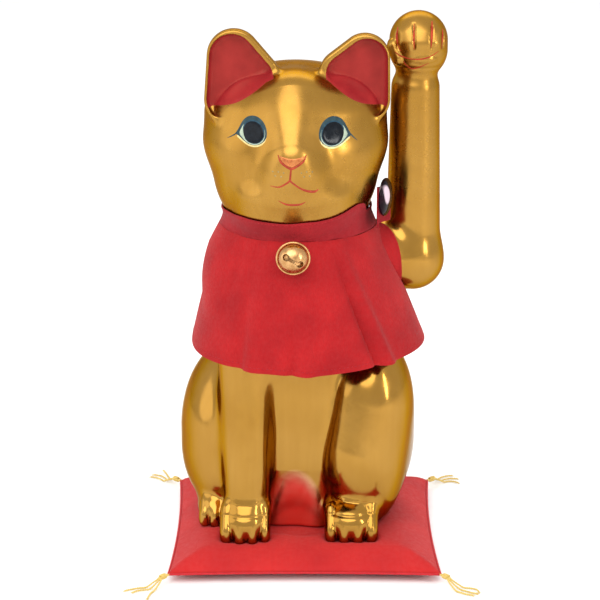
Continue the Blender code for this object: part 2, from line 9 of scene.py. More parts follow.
import bmesh
import bpy
import numpy as np
from mathutils import Matrix, Vector
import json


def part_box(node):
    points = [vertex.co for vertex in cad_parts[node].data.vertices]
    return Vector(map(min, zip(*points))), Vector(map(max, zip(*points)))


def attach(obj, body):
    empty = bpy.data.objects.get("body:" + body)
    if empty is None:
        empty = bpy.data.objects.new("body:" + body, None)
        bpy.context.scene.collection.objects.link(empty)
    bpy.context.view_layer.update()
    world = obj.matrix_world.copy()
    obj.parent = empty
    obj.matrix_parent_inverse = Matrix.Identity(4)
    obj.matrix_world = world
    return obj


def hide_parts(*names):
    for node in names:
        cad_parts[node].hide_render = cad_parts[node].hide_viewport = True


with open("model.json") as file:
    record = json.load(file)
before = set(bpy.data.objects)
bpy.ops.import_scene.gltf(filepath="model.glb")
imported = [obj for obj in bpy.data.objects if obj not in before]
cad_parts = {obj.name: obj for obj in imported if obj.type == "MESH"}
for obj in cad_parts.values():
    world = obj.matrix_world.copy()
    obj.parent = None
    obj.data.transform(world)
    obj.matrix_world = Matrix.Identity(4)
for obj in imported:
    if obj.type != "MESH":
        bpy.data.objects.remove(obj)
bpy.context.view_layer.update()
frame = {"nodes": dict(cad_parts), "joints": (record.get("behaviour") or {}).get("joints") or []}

MM = 0.001

SEAT_Z = 20.0  # underside of the figure
NET_STEP = 1.3  # spacing of the ceramic surface's points


# ---- camera

CAMERA_PITCH = 16.0
camera_data = bpy.data.cameras.new("camera")
camera_data.sensor_width = 36.0
camera_data.lens = 148.8
camera_data.clip_end = 20.0
camera = bpy.data.objects.new("camera", camera_data)
camera.location = (-0.0038, -2.0896, 0.818)
camera.rotation_euler = (math.radians(90.0 - CAMERA_PITCH), 0.0, 0.0)
bpy.context.scene.collection.objects.link(camera)
bpy.context.scene.camera = camera


# ---- materials

def hue(red, green, blue):
    """A display colour, from 0 to 255, as the linear colour that a shader takes."""
    out = []
    for level in (red, green, blue):
        share = level / 255
        out.append(share / 12.92 if share <= 0.04045 else ((share + 0.055) / 1.055) ** 2.4)
    return (*out, 1.0)


class Finish:
    """A Principled material that patterns are added to."""

    def __init__(self, name, roughness, metallic=0.0, **sockets):
        self.mat = bpy.data.materials.new(name)
        self.mat.use_nodes = True
        self.nodes, self.links = self.mat.node_tree.nodes, self.mat.node_tree.links
        self.shader = self.nodes["Principled BSDF"]
        self.shader.inputs["Roughness"].default_value = roughness
        self.shader.inputs["Metallic"].default_value = metallic
        for socket, value in sockets.items():
            self.shader.inputs[socket.replace("_", " ")].default_value = value
        self.place = self.nodes.new("ShaderNodeTexCoord").outputs["Object"]
        self.bumped = None

    def add(self, kind, place=None, **inputs):
        """A new node with these inputs, which reads its pattern at a place."""
        node = self.nodes.new("ShaderNode" + kind)
        for socket, value in inputs.items():
            node.inputs[socket.replace("_", " ")].default_value = value
        if place is not None:
            self.links.new(place, node.inputs["Vector"])
        return node

    def attribute(self, name, output):
        node = self.add("Attribute")
        node.attribute_name = name
        return node.outputs[output]

    def mapped(self, scale, shift=(0.0, 0.0, 0.0)):
        return self.add("Mapping", self.place, Scale=scale, Location=shift).outputs["Vector"]

    def noise(self, scale, detail=3.0, stretch=None, distortion=0.0):
        place = self.mapped(stretch) if stretch else self.place
        return self.add("TexNoise", place, Scale=scale, Detail=detail, Distortion=distortion).outputs["Fac"]

    def wave(self, scale, direction, distortion):
        node = self.add("TexWave", self.place, Scale=scale, Distortion=distortion, Detail=1.0)
        node.bands_direction = direction
        return node.outputs["Fac"]

    def spot(self, centre, radii):
        """1 at a place on the object, in metres, falling to 0 at these distances from it."""
        place = self.mapped([1 / r for r in radii], [-c / r for c, r in zip(centre, radii)])
        ball = self.add("TexGradient", place)
        ball.gradient_type = "SPHERICAL"
        return ball.outputs["Fac"]

    def ranged(self, source, low, high, from_low=0.35, from_high=0.65):
        node = self.add("MapRange", From_Min=from_low, From_Max=from_high, To_Min=low, To_Max=high)
        self.links.new(source, node.inputs["Value"])
        return node.outputs["Result"]

    def mixed(self, factor, first, second):
        """A colour between two, each a display colour or the output of another mix."""
        node = self.add("Mix")
        node.data_type = "RGBA"
        self.links.new(factor, node.inputs["Factor"])
        for socket, colour in ((node.inputs[6], first), (node.inputs[7], second)):
            if isinstance(colour, tuple):
                socket.default_value = hue(*colour)
            else:
                self.links.new(colour, socket)
        return node.outputs[2]

    def blended(self, factor, first, second):
        """A value between two node outputs."""
        node = self.add("Mix")
        for socket, source in (("Factor", factor), (2, first), (3, second)):
            self.links.new(source, node.inputs[socket])
        return node.outputs[0]

    def speckled(self, light, dark, grain):
        """A colour that wanders between two as a noise does."""
        return self.mixed(self.ranged(self.noise(*grain), 0.0, 1.0), light, dark)

    def colour(self, source):
        self.links.new(source, self.shader.inputs["Base Color"])

    def rough(self, source):
        self.links.new(source, self.shader.inputs["Roughness"])

    def bump(self, height, distance, strength):
        node = self.add("Bump", Distance=distance, Strength=strength)
        self.links.new(height, node.inputs["Height"])
        if self.bumped is not None:
            self.links.new(self.bumped, node.inputs["Normal"])
        self.bumped = node.outputs["Normal"]
        self.links.new(self.bumped, self.shader.inputs["Normal"])


GOLD_LIGHT = (174, 131, 61)
GOLD_DEEP = (162, 119, 49)


def gold_plate():
    """Gilding fired over a glaze, with the ears' insides painted red and a painted reflection on the lower
    belly.
    """
    gold = Finish("gold_plate", 0.16, 1.0, Specular_Tint=hue(190, 160, 110), Coat_Weight=0.06)
    tone_and_painted_reflection = gold.speckled(GOLD_LIGHT, GOLD_DEEP, (14.0,))
    brushed = gold.noise(22.0, 3.0, (9.0, 9.0, 0.5))
    tone_and_painted_reflection = gold.mixed(gold.ranged(brushed, 0.0, 0.18), tone_and_painted_reflection, (152, 108, 44))
    # painted reflection: the gold between the front legs is made paler and pinker so that the cushion's red
    # reflects brighter there
    belly_painted_reflection = gold.ranged(gold.spot((-0.008, -0.05, 0.034), (0.032, 0.07, 0.055)), 0.0, 1.0, 0.2, 0.5)
    tone_and_painted_reflection = gold.mixed(belly_painted_reflection, tone_and_painted_reflection, (255, 196, 170))
    paint = gold.attribute("ear_paint", "Fac")
    is_red = gold.ranged(paint, 1.0, 0.0, -0.12, 0.12)
    gold.colour(gold.mixed(is_red, tone_and_painted_reflection, gold.speckled((152, 37, 40), (135, 28, 34), (60.0,))))
    gold.links.new(gold.ranged(paint, 0.0, 1.0, -0.12, 0.12), gold.shader.inputs["Metallic"])
    film = gold.noise(90.0, 5.0)
    height = gold.add("SeparateXYZ", gold.place).outputs["Z"]
    worn = gold.blended(gold.ranged(height, 0.0, 1.0, 0.27, 0.33),
                        gold.ranged(film, 0.13, 0.21), gold.ranged(film, 0.25, 0.33))
    gold.rough(gold.blended(is_red, worn, gold.ranged(film, 0.4, 0.5)))
    gold.bump(gold.noise(34.0, 2.0), 0.0006, 0.35)
    gold.bump(gold.noise(420.0, 3.0), 0.00004, 0.5)
    return gold.mat


def enamel(name, light, dark, roughness, metallic=0.0, coat=0.6, specular=0.5):
    """A painted-on colour, slightly uneven as a brush leaves it."""
    paint = Finish(name, roughness, metallic, Coat_Weight=coat, Coat_Roughness=0.05,
                   Specular_IOR_Level=specular)
    paint.colour(paint.speckled(light, dark, (260.0,)))
    paint.rough(paint.ranged(paint.noise(500.0), roughness * 0.7, roughness * 1.4))
    paint.bump(paint.noise(900.0), 0.00004, 0.6)
    return paint.mat


def crepe(name, light, dark):
    """Crinkled cotton crepe: fine uneven ribs across a plain weave."""
    cloth = Finish(name, 0.82, Sheen_Weight=0.05, Sheen_Roughness=0.45, Specular_IOR_Level=0.2)
    cloth.place = cloth.attribute("cloth_place", "Vector")
    rib = cloth.noise(900.0, 3.0, (1.0, 0.32, 1.0), 0.6)
    broad = cloth.speckled(light, dark, (26.0,))
    cloth.colour(cloth.mixed(cloth.ranged(rib, 0.0, 0.42), broad, dark))
    cloth.rough(cloth.ranged(cloth.noise(300.0), 0.74, 0.92))
    cloth.bump(rib, 0.0007, 0.55)
    for direction in "XY":
        cloth.bump(cloth.wave(430.0, direction, 0.6), 0.0002, 0.35)
    return cloth.mat


def satin(name, light, dark):
    """The cushion's closely woven cotton."""
    cloth = Finish(name, 0.72, Sheen_Weight=0.05, Sheen_Roughness=0.4, Specular_IOR_Level=0.25)
    cloth.place = cloth.attribute("cloth_place", "Vector")
    broad = cloth.speckled(light, dark, (18.0,))
    slub = cloth.noise(380.0, 3.0, (1.0, 0.12, 1.0))
    cloth.colour(cloth.mixed(cloth.ranged(slub, 0.0, 0.3), broad, dark))
    cloth.rough(cloth.ranged(cloth.noise(240.0), 0.62, 0.82))
    for direction in "XY":
        cloth.bump(cloth.wave(620.0, direction, 0.4), 0.00025, 0.4)
    cloth.bump(slub, 0.0003, 0.4)
    cloth.bump(cloth.noise(45.0, 2.0), 0.0012, 0.3)
    return cloth.mat


def yarn(name, light, dark, roughness=0.6):
    """Twisted thread with fibres lying along it."""
    cord = Finish(name, roughness, Sheen_Weight=0.03, Specular_IOR_Level=0.2)
    fibre = cord.noise(1600.0, 4.0)
    cord.colour(cord.mixed(cord.ranged(fibre, 0.0, 1.0), light, dark))
    cord.rough(cord.ranged(cord.noise(700.0), roughness * 0.85, min(1.0, roughness * 1.2)))
    cord.bump(fibre, 0.0003, 0.8)
    return cord.mat


def metal(name, light, dark, roughness):
    """Thin spun metal with light handling marks and a little tarnish."""
    skin = Finish(name, roughness, 1.0)
    skin.colour(skin.speckled(light, dark, (180.0, 4.0)))
    skin.rough(skin.ranged(skin.noise(420.0, 5.0), roughness * 0.6, roughness * 1.7))
    skin.bump(skin.noise(700.0, 3.0), 0.00005, 0.7)
    return skin.mat


def moulded(name, light, dark, roughness):
    """Moulded rubber."""
    skin = Finish(name, roughness, IOR=1.5)
    skin.colour(skin.speckled(light, dark, (120.0,)))
    skin.rough(skin.ranged(skin.noise(350.0, 4.0), roughness * 0.7, roughness * 1.3))
    skin.bump(skin.noise(1100.0), 0.00006, 0.5)
    return skin.mat


def horn_with_painted_highlight():
    """The button: dark resin with a painted highlight, a paler, brighter oval near its middle."""
    horn = Finish("button_gloss", 0.1, IOR=1.2)
    dark = horn.speckled((30, 7, 18), (14, 4, 12), (120.0,))
    # painted highlight: a pale oval on the dome where a lamp's reflection would lie
    painted_highlight = horn.ranged(horn.spot((0.0702, -0.0325, 0.3215), (0.03, 0.0066, 0.0115)), 0.0, 1.0, 0.22, 0.42)
    horn.colour(horn.mixed(painted_highlight, dark, (214, 190, 200)))
    horn.rough(horn.ranged(horn.noise(350.0, 4.0), 0.07, 0.13))
    horn.bump(horn.noise(1100.0), 0.00006, 0.5)
    return horn.mat


GOLD = gold_plate()
NOSE_COPPER = enamel("nose_copper", (198, 124, 70), (182, 104, 56), 0.3, 0.7, 0.0)
LINE_RED = enamel("line_red", (168, 62, 38), (142, 44, 28), 0.4, coat=0.0, specular=0.2)
GROOVE_RED = enamel("groove_red", (176, 58, 30), (146, 40, 24), 0.4, 0.2, 0.0, 0.2)
EYE_RIM = enamel("eye_rim_cream", (222, 200, 136), (206, 180, 112), 0.35, 0.3, 0.1)
EYE_LINE = enamel("eye_line_teal", (44, 68, 74), (34, 54, 60), 0.35, coat=0.0, specular=0.2)
EYE_WHITE = enamel("eye_white", (172, 184, 160), (146, 162, 142), 0.3, coat=0.0, specular=0.3)
EYE_IRIS = enamel("eye_iris_blue", (36, 72, 88), (24, 52, 68), 0.3, coat=0.0, specular=0.2)
EYE_PUPIL = enamel("eye_pupil_black", (16, 22, 28), (8, 12, 18), 0.15, coat=0.0, specular=0.16)
WHISKER = enamel("whisker_dot", (150, 130, 76), (126, 106, 60), 0.35, 0.4)
BIB_RED = crepe("bib_crepe", (171, 25, 28), (148, 17, 22))
BAND_RED = crepe("collar_crepe", (158, 26, 33), (134, 18, 26))
FLAP_RED = crepe("flap_crepe", (158, 24, 34), (132, 17, 27))
CUSHION_RED = satin("cushion_cloth", (194, 35, 34), (176, 26, 28))
STITCH_RED = yarn("stitch_red", (176, 30, 38), (140, 20, 28))
SEAM_RED = yarn("seam_cord_red", (200, 40, 46), (160, 28, 36))
COTTON = yarn("cotton_filling", (236, 232, 220), (220, 214, 198), 0.95)
TASSEL_GOLD = yarn("tassel_yarn", (226, 200, 122), (196, 164, 80), 0.5)
BELL_GILT = metal("bell_gilt", (212, 166, 112), (184, 136, 86), 0.24)
STEEL = metal("pellet_steel", (176, 176, 178), (140, 140, 144), 0.3)
SHANK = metal("shank_metal", (198, 194, 186), (160, 156, 150), 0.3)
BUTTON_PAINTED_HIGHLIGHT = horn_with_painted_highlight()
RUBBER = moulded("stopper_rubber", (58, 56, 54), (40, 38, 38), 0.7)
THREAD = yarn("red_thread", (190, 34, 40), (150, 24, 32))


# ---- mesh helpers

def shown(name, mesh, mat, body=None, replaces=()):
    """An object of a mesh, riding on a body if it has one."""
    mesh.materials.append(mat)
    obj = bpy.data.objects.new(name, mesh)
    bpy.context.scene.collection.objects.link(obj)
    if body:
        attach(obj, body)
    if replaces:
        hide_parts(*replaces)
    return obj


def piece(name, points, faces, mat, body, slot, replaces=(), normals=None):
    """A named piece from points in millimetres, riding on a body and standing for CAD nodes."""
    mesh = bpy.data.meshes.new(name)
    mesh.from_pydata((np.asarray(points, float) * MM).tolist(), [],
                     faces.tolist() if isinstance(faces, np.ndarray) else faces)
    mesh.shade_smooth()
    if normals is not None:
        mesh.normals_split_custom_set_from_vertices(normals.tolist())
    return shown(name, mesh, mat, body, replaces)


def place_cloth(obj, places):
    """Stores where each point lies on the flat cloth, in metres, for the weave to follow."""
    store = obj.data.attributes.new("cloth_place", "FLOAT_VECTOR", "POINT")
    flat = np.zeros((len(places), 3), np.float32)
    flat[:, :2] = np.asarray(places, np.float32) * MM
    store.data.foreach_set("vector", flat.ravel())


def points_of(mesh):
    """A mesh's points in millimetres."""
    points = np.empty(len(mesh.vertices) * 3, np.float32)
    mesh.vertices.foreach_get("co", points)
    return points.reshape(-1, 3) / MM


def move_to(obj, points):
    obj.data.vertices.foreach_set("co", (points * MM).astype(np.float32).ravel())
    obj.data.update()


def apply_modifiers(obj):
    """Bakes an object's modifiers into its mesh."""
    made = bpy.data.meshes.new_from_object(obj.evaluated_get(bpy.context.evaluated_depsgraph_get()))
    obj.modifiers.clear()
    obj.data = made
    return obj


def smoothed(obj):
    obj.modifiers.new("smooth", "SUBSURF").levels = 1
    apply_modifiers(obj)


def sheet_faces(columns, rows):
    """Quads of a grid whose points run row by row."""
    row = columns + 1
    return [(j * row + i, (j + 1) * row + i, (j + 1) * row + i + 1, j * row + i + 1)
            for j in range(rows) for i in range(columns)]


def joined(parts):
    """Several (points, faces) meshes as one."""
    points, faces, start = [], [], 0
    for part_points, part_faces in parts:
        points.append(np.asarray(part_points, float))
        faces += [tuple(start + k for k in face) for face in part_faces]
        start += len(part_points)
    return np.concatenate(points), faces


def unit(vectors):
    return vectors / np.linalg.norm(vectors, axis=-1, keepdims=True)


def along(path):
    """How far along a path each of its points lies."""
    return np.concatenate([[0.0], np.cumsum(np.linalg.norm(np.diff(path, axis=0), axis=1))])


def tube(path, radii, sides=8, flatten=1.0, ups=None):
    """A closed tube along a path. With ups, its section is flattened along them."""
    path = np.asarray(path, float)
    count = len(path)
    radii = np.broadcast_to(np.asarray(radii, float), (count,))
    ahead = unit(np.gradient(path, axis=0))
    if ups is None:
        ups = np.empty_like(path)
        up = np.cross(ahead[0], (0.3, 0.2, 0.9))
        for i in range(count):
            up = unit(up - ahead[i] * (up @ ahead[i]))
            ups[i] = up
    else:
        ups = unit(ups - ahead * (ups * ahead).sum(1, keepdims=True))
    across = np.cross(ahead, ups)
    turn = (np.arange(sides) / sides * math.tau)[None, :, None]
    ring = across[:, None] * np.cos(turn) + ups[:, None] * np.sin(turn) * flatten
    points = (path[:, None] + ring * radii[:, None, None]).reshape(-1, 3)
    faces = [(i + k, i + (k + 1) % sides, i + sides + (k + 1) % sides, i + sides + k)
             for i in range(0, (count - 1) * sides, sides) for k in range(sides)]
    faces.append(tuple(reversed(range(sides))))
    faces.append(tuple((count - 1) * sides + k for k in range(sides)))
    return points, faces


def smooth_route(route, steps):
    """Points along a Catmull-Rom curve through the route."""
    pts = [np.asarray(p, float) for p in route]
    pts = [2 * pts[0] - pts[1]] + pts + [2 * pts[-1] - pts[-2]]
    out = []
    for a, b, c, d in zip(pts, pts[1:], pts[2:], pts[3:]):
        for i in range(steps):
            t = i / steps
            out.append(0.5 * (2 * b + (c - a) * t + (2 * a - 5 * b + 4 * c - d) * t ** 2
                              + (3 * b - a - 3 * c + d) * t ** 3))
    return np.array(out + [pts[-2]])


def turned(name, profile, mat, body, place, segments=64, replaces=(), sharp=40.0):
    """A turned piece from (radius, height) pairs. A profile off the axis closes on itself."""
    bm = bmesh.new()
    verts = [bm.verts.new((r * MM, 0.0, h * MM)) for r, h in profile]
    edges = [bm.edges.new(pair) for pair in zip(verts, verts[1:])]
    if profile[0][0] > 0.0:
        edges.append(bm.edges.new((verts[-1], verts[0])))
    bmesh.ops.spin(bm, geom=verts + edges, axis=(0, 0, 1), cent=(0, 0, 0), steps=segments, angle=math.tau)
    bmesh.ops.remove_doubles(bm, verts=bm.verts, dist=0.00001)
    bmesh.ops.recalc_face_normals(bm, faces=bm.faces)
    mesh = bpy.data.meshes.new(name)
    bm.to_mesh(mesh)
    bm.free()
    mesh.transform(place)
    mesh.shade_smooth()
    mesh.set_sharp_from_angle(angle=math.radians(sharp))
    return shown(name, mesh, mat, body, replaces)


def facing(centre, axis):
    """The place of a turned piece whose +Z runs along axis."""
    turn = Vector(axis).to_track_quat("Z", "Y").to_matrix().to_4x4()
    return Matrix.Translation(Vector(centre) * MM) @ turn


# ---- the corner cords

# Each strand's route from its knot to its free end, in metres, on the surface that the cushion rests on.
STRAND_D = 0.0017
STRAND_Z = 0.0010
TASSELS = {
    "front_left": [
        [(-.1246, -.1244, .0072), (-.1294, -.1256, .0042), (-.1346, -.1270, STRAND_Z),
         (-.1410, -.1292, STRAND_Z), (-.1470, -.1318, STRAND_Z), (-.1523, -.1348, STRAND_Z)],
        [(-.1234, -.1258, .0072), (-.1274, -.1286, .0038), (-.1316, -.1314, STRAND_Z),
         (-.1362, -.1332, STRAND_Z), (-.1410, -.1348, STRAND_Z), (-.1456, -.1386, STRAND_Z)],
        [(-.1220, -.1270, .0072), (-.1246, -.1308, .0038), (-.1274, -.1344, STRAND_Z),
         (-.1300, -.1398, STRAND_Z), (-.1314, -.1460, STRAND_Z), (-.1324, -.1526, STRAND_Z)],
    ],
    "front_right": [
        [(.1246, -.1244, .0072), (.1300, -.1262, .0038), (.1356, -.1280, STRAND_Z),
         (.1414, -.1296, STRAND_Z), (.1462, -.1326, STRAND_Z), (.1478, -.1378, STRAND_Z)],
        [(.1234, -.1258, .0072), (.1278, -.1292, .0036), (.1326, -.1324, STRAND_Z),
         (.1372, -.1362, STRAND_Z), (.1418, -.1396, STRAND_Z), (.1460, -.1414, STRAND_Z)],
        [(.1220, -.1270, .0072), (.1252, -.1316, .0036), (.1286, -.1356, STRAND_Z),
         (.1324, -.1394, STRAND_Z), (.1368, -.1426, STRAND_Z), (.1422, -.1450, STRAND_Z)],
    ],
    "back_left": [
        [(-.1246, .1244, .0072), (-.1294, .1290, .0040), (-.1332, .1344, STRAND_Z),
         (-.1370, .1394, STRAND_Z), (-.1412, .1432, STRAND_Z), (-.1464, .1458, STRAND_Z)],
        [(-.1234, .1258, .0072), (-.1272, .1312, .0038), (-.1304, .1372, STRAND_Z),
         (-.1334, .1436, STRAND_Z), (-.1376, .1490, STRAND_Z), (-.1440, .1516, STRAND_Z)],
        [(-.1220, .1270, .0072), (-.1246, .1328, .0038), (-.1272, .1390, STRAND_Z),
         (-.1298, .1464, STRAND_Z), (-.1322, .1546, STRAND_Z), (-.1354, .1640, STRAND_Z)],
    ],
    "back_right": [
        [(.1246, .1244, .0072), (.1292, .1280, .0040), (.1334, .1316, STRAND_Z),
         (.1378, .1334, STRAND_Z), (.1424, .1326, STRAND_Z), (.1468, .1294, STRAND_Z)],
        [(.1234, .1258, .0072), (.1270, .1308, .0038), (.1306, .1358, STRAND_Z),
         (.1350, .1392, STRAND_Z), (.1402, .1410, STRAND_Z), (.1460, .1408, STRAND_Z)],
        [(.1220, .1270, .0072), (.1244, .1328, .0038), (.1272, .1388, STRAND_Z),
         (.1308, .1440, STRAND_Z), (.1356, .1476, STRAND_Z), (.1416, .1494, STRAND_Z)],
    ],
}
ROUTE_STEPS = 5  # points of a strand's centreline between two points of its route
PLY_TURN = 4.2  # millimetres along a strand for one turn of its two plies
BINDING = 3.3  # half the length of the cord wound round a corner's strands
BINDING_PITCH = 1.25


def strand(name, route, seed):
    """A two-ply cord with a frayed end, lying along its route."""
    fine = smooth_route(route, 4 * ROUTE_STEPS) / MM
    run = along(fine)
    ahead = unit(np.gradient(fine, axis=0))
    side = unit(np.cross(ahead, (0.0, 0.0, 1.0)))
    up = np.cross(side, ahead)
    ply_r = STRAND_D / MM / 4
    parts = []
    for ply in (0.0, math.pi):
        turn = (run / PLY_TURN * math.tau + ply)[:, None]
        parts.append(tube(fine + (side * np.cos(turn) + up * np.sin(turn)) * ply_r * 0.9, ply_r * 1.08, 7))
    rng = np.random.default_rng(seed)
    for hair in range(5):
        angle = (hair - 2) * 0.22 + rng.uniform(-0.06, 0.06)
        heading = ahead[-1] * math.cos(angle) + side[-1] * math.sin(angle)
        length = rng.uniform(2.0, 3.4)
        base = fine[-1] - ahead[-1] * 0.8 + side[-1] * (hair - 2) * 0.22
        reach = base + np.linspace(0, 1, 4)[:, None] * (heading * length - (0, 0, 0.45))
        parts.append(tube(reach, np.linspace(0.24, 0.10, 4), 5))
    points, faces = joined(parts)
    points[:, 2] = np.maximum(points[:, 2], 0.02)
    obj = piece(name, points, faces, TASSEL_GOLD, "cushion", "tassel_cord", ["tassel_" + name])


def knot(corner, side_x, side_y, strands):
    """The binding at a cushion corner: a cord wound round the three strands, which come out of the cover."""
    low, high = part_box("tassel_knot_" + corner)
    centre = np.array((low + high) / 2) / MM
    out = unit(np.array((side_x, side_y, 0.0)))
    across = unit(np.array((-side_y, side_x, 0.0)))
    reach = np.linspace(-BINDING, 3.0, 120)[:, None]
    turn = reach * math.tau / BINDING_PITCH
    ring = 1.95 - 0.35 * (reach / BINDING) ** 2
    coil = centre + reach * out + np.cos(turn) * ring * across
    coil[:, 2:] += np.sin(turn) * ring
    parts = [tube(coil, 0.62, 8)]
    for index, route in enumerate(strands):
        first = np.array(route[0]) / MM
        offset = across * (index - 1) * 0.9 * (1 if (first - centre) @ across * (index - 1) >= 0 else -1)
        lead = [centre - out * 8.0 + offset * 0.4, centre - out * 3.6 + offset, centre + out * 2.4 + offset,
                first + (first - centre) * 0.08]
        parts.append(tube(smooth_route(lead, 6), 0.8, 8))
    piece("knot_" + corner, *joined(parts), TASSEL_GOLD, "cushion", "tassel_cord", ["tassel_knot_" + corner])


def tassels():
    for number, (corner, strands) in enumerate(TASSELS.items()):
        knot(corner, -1 if "left" in corner else 1, -1 if "front" in corner else 1, strands)
        for index, route in enumerate(strands, 1):
            strand(f"strand_{corner}_{index}", route, 10 * number + index)


tassels()


# ---- the clay forms

def swept(p, start, end, radii):
    """Distance to an ellipsoid with these radii that is swept from start to end."""
    radii = np.asarray(radii, np.float32)
    run = (np.asarray(end, np.float32) - np.asarray(start, np.float32)) / radii
    q = (p - np.asarray(start, np.float32)) / radii
    length = float(run @ run)
    if length > 0.0:
        q = q - np.clip(q @ run / length, 0.0, 1.0)[..., None] * run
    k0 = np.maximum(np.linalg.norm(q, axis=-1), 1e-4)
    k1 = np.maximum(np.linalg.norm(q / radii, axis=-1), 1e-4 / radii.max())
    return k0 * (k0 - 1.0) / k1


def limb(p, start, end, start_r, end_r):
    """Distance to a round bar that tapers from start_r to end_r."""
    start = np.asarray(start, np.float32)
    run = np.asarray(end, np.float32) - start
    t = np.clip((p - start) @ run / (run @ run), 0.0, 1.0)
    return np.linalg.norm(p - start - t[..., None] * run, axis=-1) - (start_r + (end_r - start_r) * t)


def blend(a, b, width):
    """Joins two forms with a soft fillet of this width."""
    h = np.maximum(width - np.abs(a - b), 0.0) / width
    return np.minimum(a, b) - h * h * width * 0.25


def carve(a, cut, width):
    """Takes the cutting form out of a, with its edge rounded by this width."""
    return -blend(-a, cut, width)


def local(d, p, low, high, width, part):
    """Blends a part into the form d, only for the points inside a box round that part."""
    inside = np.all((p > low) & (p < high), axis=-1)
    d[inside] = blend(d[inside], part(p[inside]), width)
    return d


def grown(p, first, *parts):
    """Blends parts onto a first one: (width, start, end, radii), a round bar where it has two radii."""
    d = swept(p, *first)
    for width, start, end, radii in parts:
        d = blend(d, swept(p, start, end, radii) if len(radii) == 3 else limb(p, start, end, *radii), width)
    return d


HEAD_X = -7.6
EAR_RIM = 4.0  # width of the rim round the red inside of an ear
EAR_HALF = 8.0  # half of an ear's thickness
EAR_ROUND = 2.6
EAR_BACK_ROUND = 7.8
# Each ear has three corners, as (x, y, z, radius), and how far its hollow is shifted outwards.
LEFT_EAR = dict(tip=(-59.5, -28, 441, 22.7), outer=(-62, -26, 404, 22.8), inner=(-43.5, -26, 421.8, 23),
                shift=1.6)
RIGHT_EAR = dict(tip=(51, -24, 438, 21.2), outer=(50, -22, 404, 22.6), inner=(33.5, -22, 424.6, 21.2),
                 shift=-1.8)
POCKET_R = 34.0  # radius of the domed pocket at the bottom of an ear


def head(p):
    """Jaw, skull, muzzle, chin and the ridge from the brow to the nose."""
    return grown(
        p, ((HEAD_X, -8, 330), (HEAD_X, -8, 346), (69, 61, 52)),
        (24, (HEAD_X, -2, 368), (HEAD_X, 4, 386), (78.6, 66, 44)),
        (18, (-15, -68, 345), (-4, -68, 345), (18, 18, 16)),
        (14, (-8.5, -40, 304), (-9.5, -50, 326), (44, 29, 18)),
        (22, (-9, -37, 404), (-9.5, -74, 366), (22, 13)),
    )


def ear_outline(p, tip, outer, inner):
    """The ear's rounded triangle as seen from the front, through a round of its own at each corner."""
    flat = p.copy()
    flat[..., 1] = 0.0
    spots = [np.array((x, 0.0, z), np.float32) for x, _, z, _ in (tip, outer, inner)]
    sides = ((1, 0, outer[3], tip[3]), (2, 0, inner[3], tip[3]), (1, 2, outer[3], inner[3]))
    return np.minimum.reduce([limb(flat, spots[i], spots[j], first, last) for i, j, first, last in sides])


def ear_scoop(p, tip, outer, inner, shift):
    """The outline of the hollow in an ear: its rim is thinner on the outer side."""
    return ear_outline(p + np.array((shift, 0, 0), np.float32), tip, outer, inner) + EAR_RIM


def ear_middle(tip, outer, inner):
    return (tip[1] + outer[1] + inner[1]) / 3


def ear(p, tip, outer, inner, shift):
    """A rounded plate with the ear's outline, scooped out in front inside its rim, with a domed pocket."""
    middle_y = ear_middle(tip, outer, inner)
    outline = ear_outline(p, tip, outer, inner)
    rounding = np.where(p[..., 1] > middle_y, EAR_BACK_ROUND, EAR_ROUND)
    across = outline + rounding
    depth = np.abs(p[..., 1] - middle_y) - EAR_HALF + rounding
    d = np.hypot(np.maximum(across, 0), np.maximum(depth, 0)) - rounding
    d += np.minimum(np.maximum(across, depth), 0)
    d = carve(d, carve(ear_scoop(p, tip, outer, inner, shift), middle_y + 2 - p[..., 1], 6), 1.2)
    pocket = ((outer[0] + inner[0]) / 2 + np.sign(shift) * 13, middle_y + 1, outer[2] - 16)
    dome = swept(p, pocket, pocket, (POCKET_R, 7, POCKET_R))
    return blend(d, carve(dome, -(outline + 2.0), 0.5), 0.8)


def ear_paint(p, tip, outer, inner, shift):
    """Negative on the red inside of an ear, down to its lower edge on the head."""
    front = p[..., 1] - ear_middle(tip, outer, inner) - 3
    share = (p[..., 0] - outer[0] + 16 * np.sign(shift)) * np.sign(shift) / 46
    lower = 397.5 + 23 * share - 5 * np.sin(math.pi * np.clip(share, 0, 1)) - p[..., 2]
    return np.maximum(np.maximum(ear_scoop(p, tip, outer, inner, shift) - 0.2, front), lower)


def pressed(p, d, x, z, half_x, depth, width, front_y):
    """Presses a level crease into the front of a form."""
    line = np.exp(-((p[..., 2] - z) / width) ** 2)
    reach = np.clip(1.5 - np.abs(p[..., 0] - x) / half_x, 0.0, 1.0) * (p[..., 1] < front_y)
    return d + depth * line * reach


def foot(p, x, y, width):
    d = swept(p, (x, y + 4, SEAT_Z + 15), (x, y + 14, SEAT_Z + 17), (width - 1, 23, 19))
    for place in (-1.5, -0.5, 0.5, 1.5):
        toe_x = x + place * width * 0.5
        toe_y = y - 12 + abs(place) * 2.4
        start = (toe_x, toe_y + 9, SEAT_Z + 20)
        d = blend(d, swept(p, start, (toe_x, toe_y + 1, SEAT_Z + 8), (width * 0.265, 9.5, 13)), 1.6)
    for z in (44.6, 53.5):
        d = pressed(p, d, x, z, width * 0.8, 0.9, 1.3, y + 8)
    return d


def trunk(p):
    """Belly, chest, neck, back, haunches and legs, without feet or head."""
    return grown(
        p, ((-3, 10, 20), (-3, 6, 240), (52, 52, 40)),
        (30, (-4, 8, 215), (-5, 2, 262), (71, 64, 58)),
        (20, (-6, 0, 290), (-7, 0, 330), (58, 56, 30)),
        (34, (-4, 34, 88), (-4, 30, 130), (90, 56, 66)),
        (22, (-64, 14, 84), (-64, 14, 100), (46, 56, 66)),
        (24, (-46, -14, 222), (-46, -14, 240), (36, 36, 40)),
        (16, (-51, -30, 215), (-50, -54, 48), (26, 18.5)),
        (8, (51, -20, 84), (57, -14, 128), (39.5, 48, 66)),
        (20, (54, 24, 84), (54, 24, 96), (44, 50, 66)),
    )


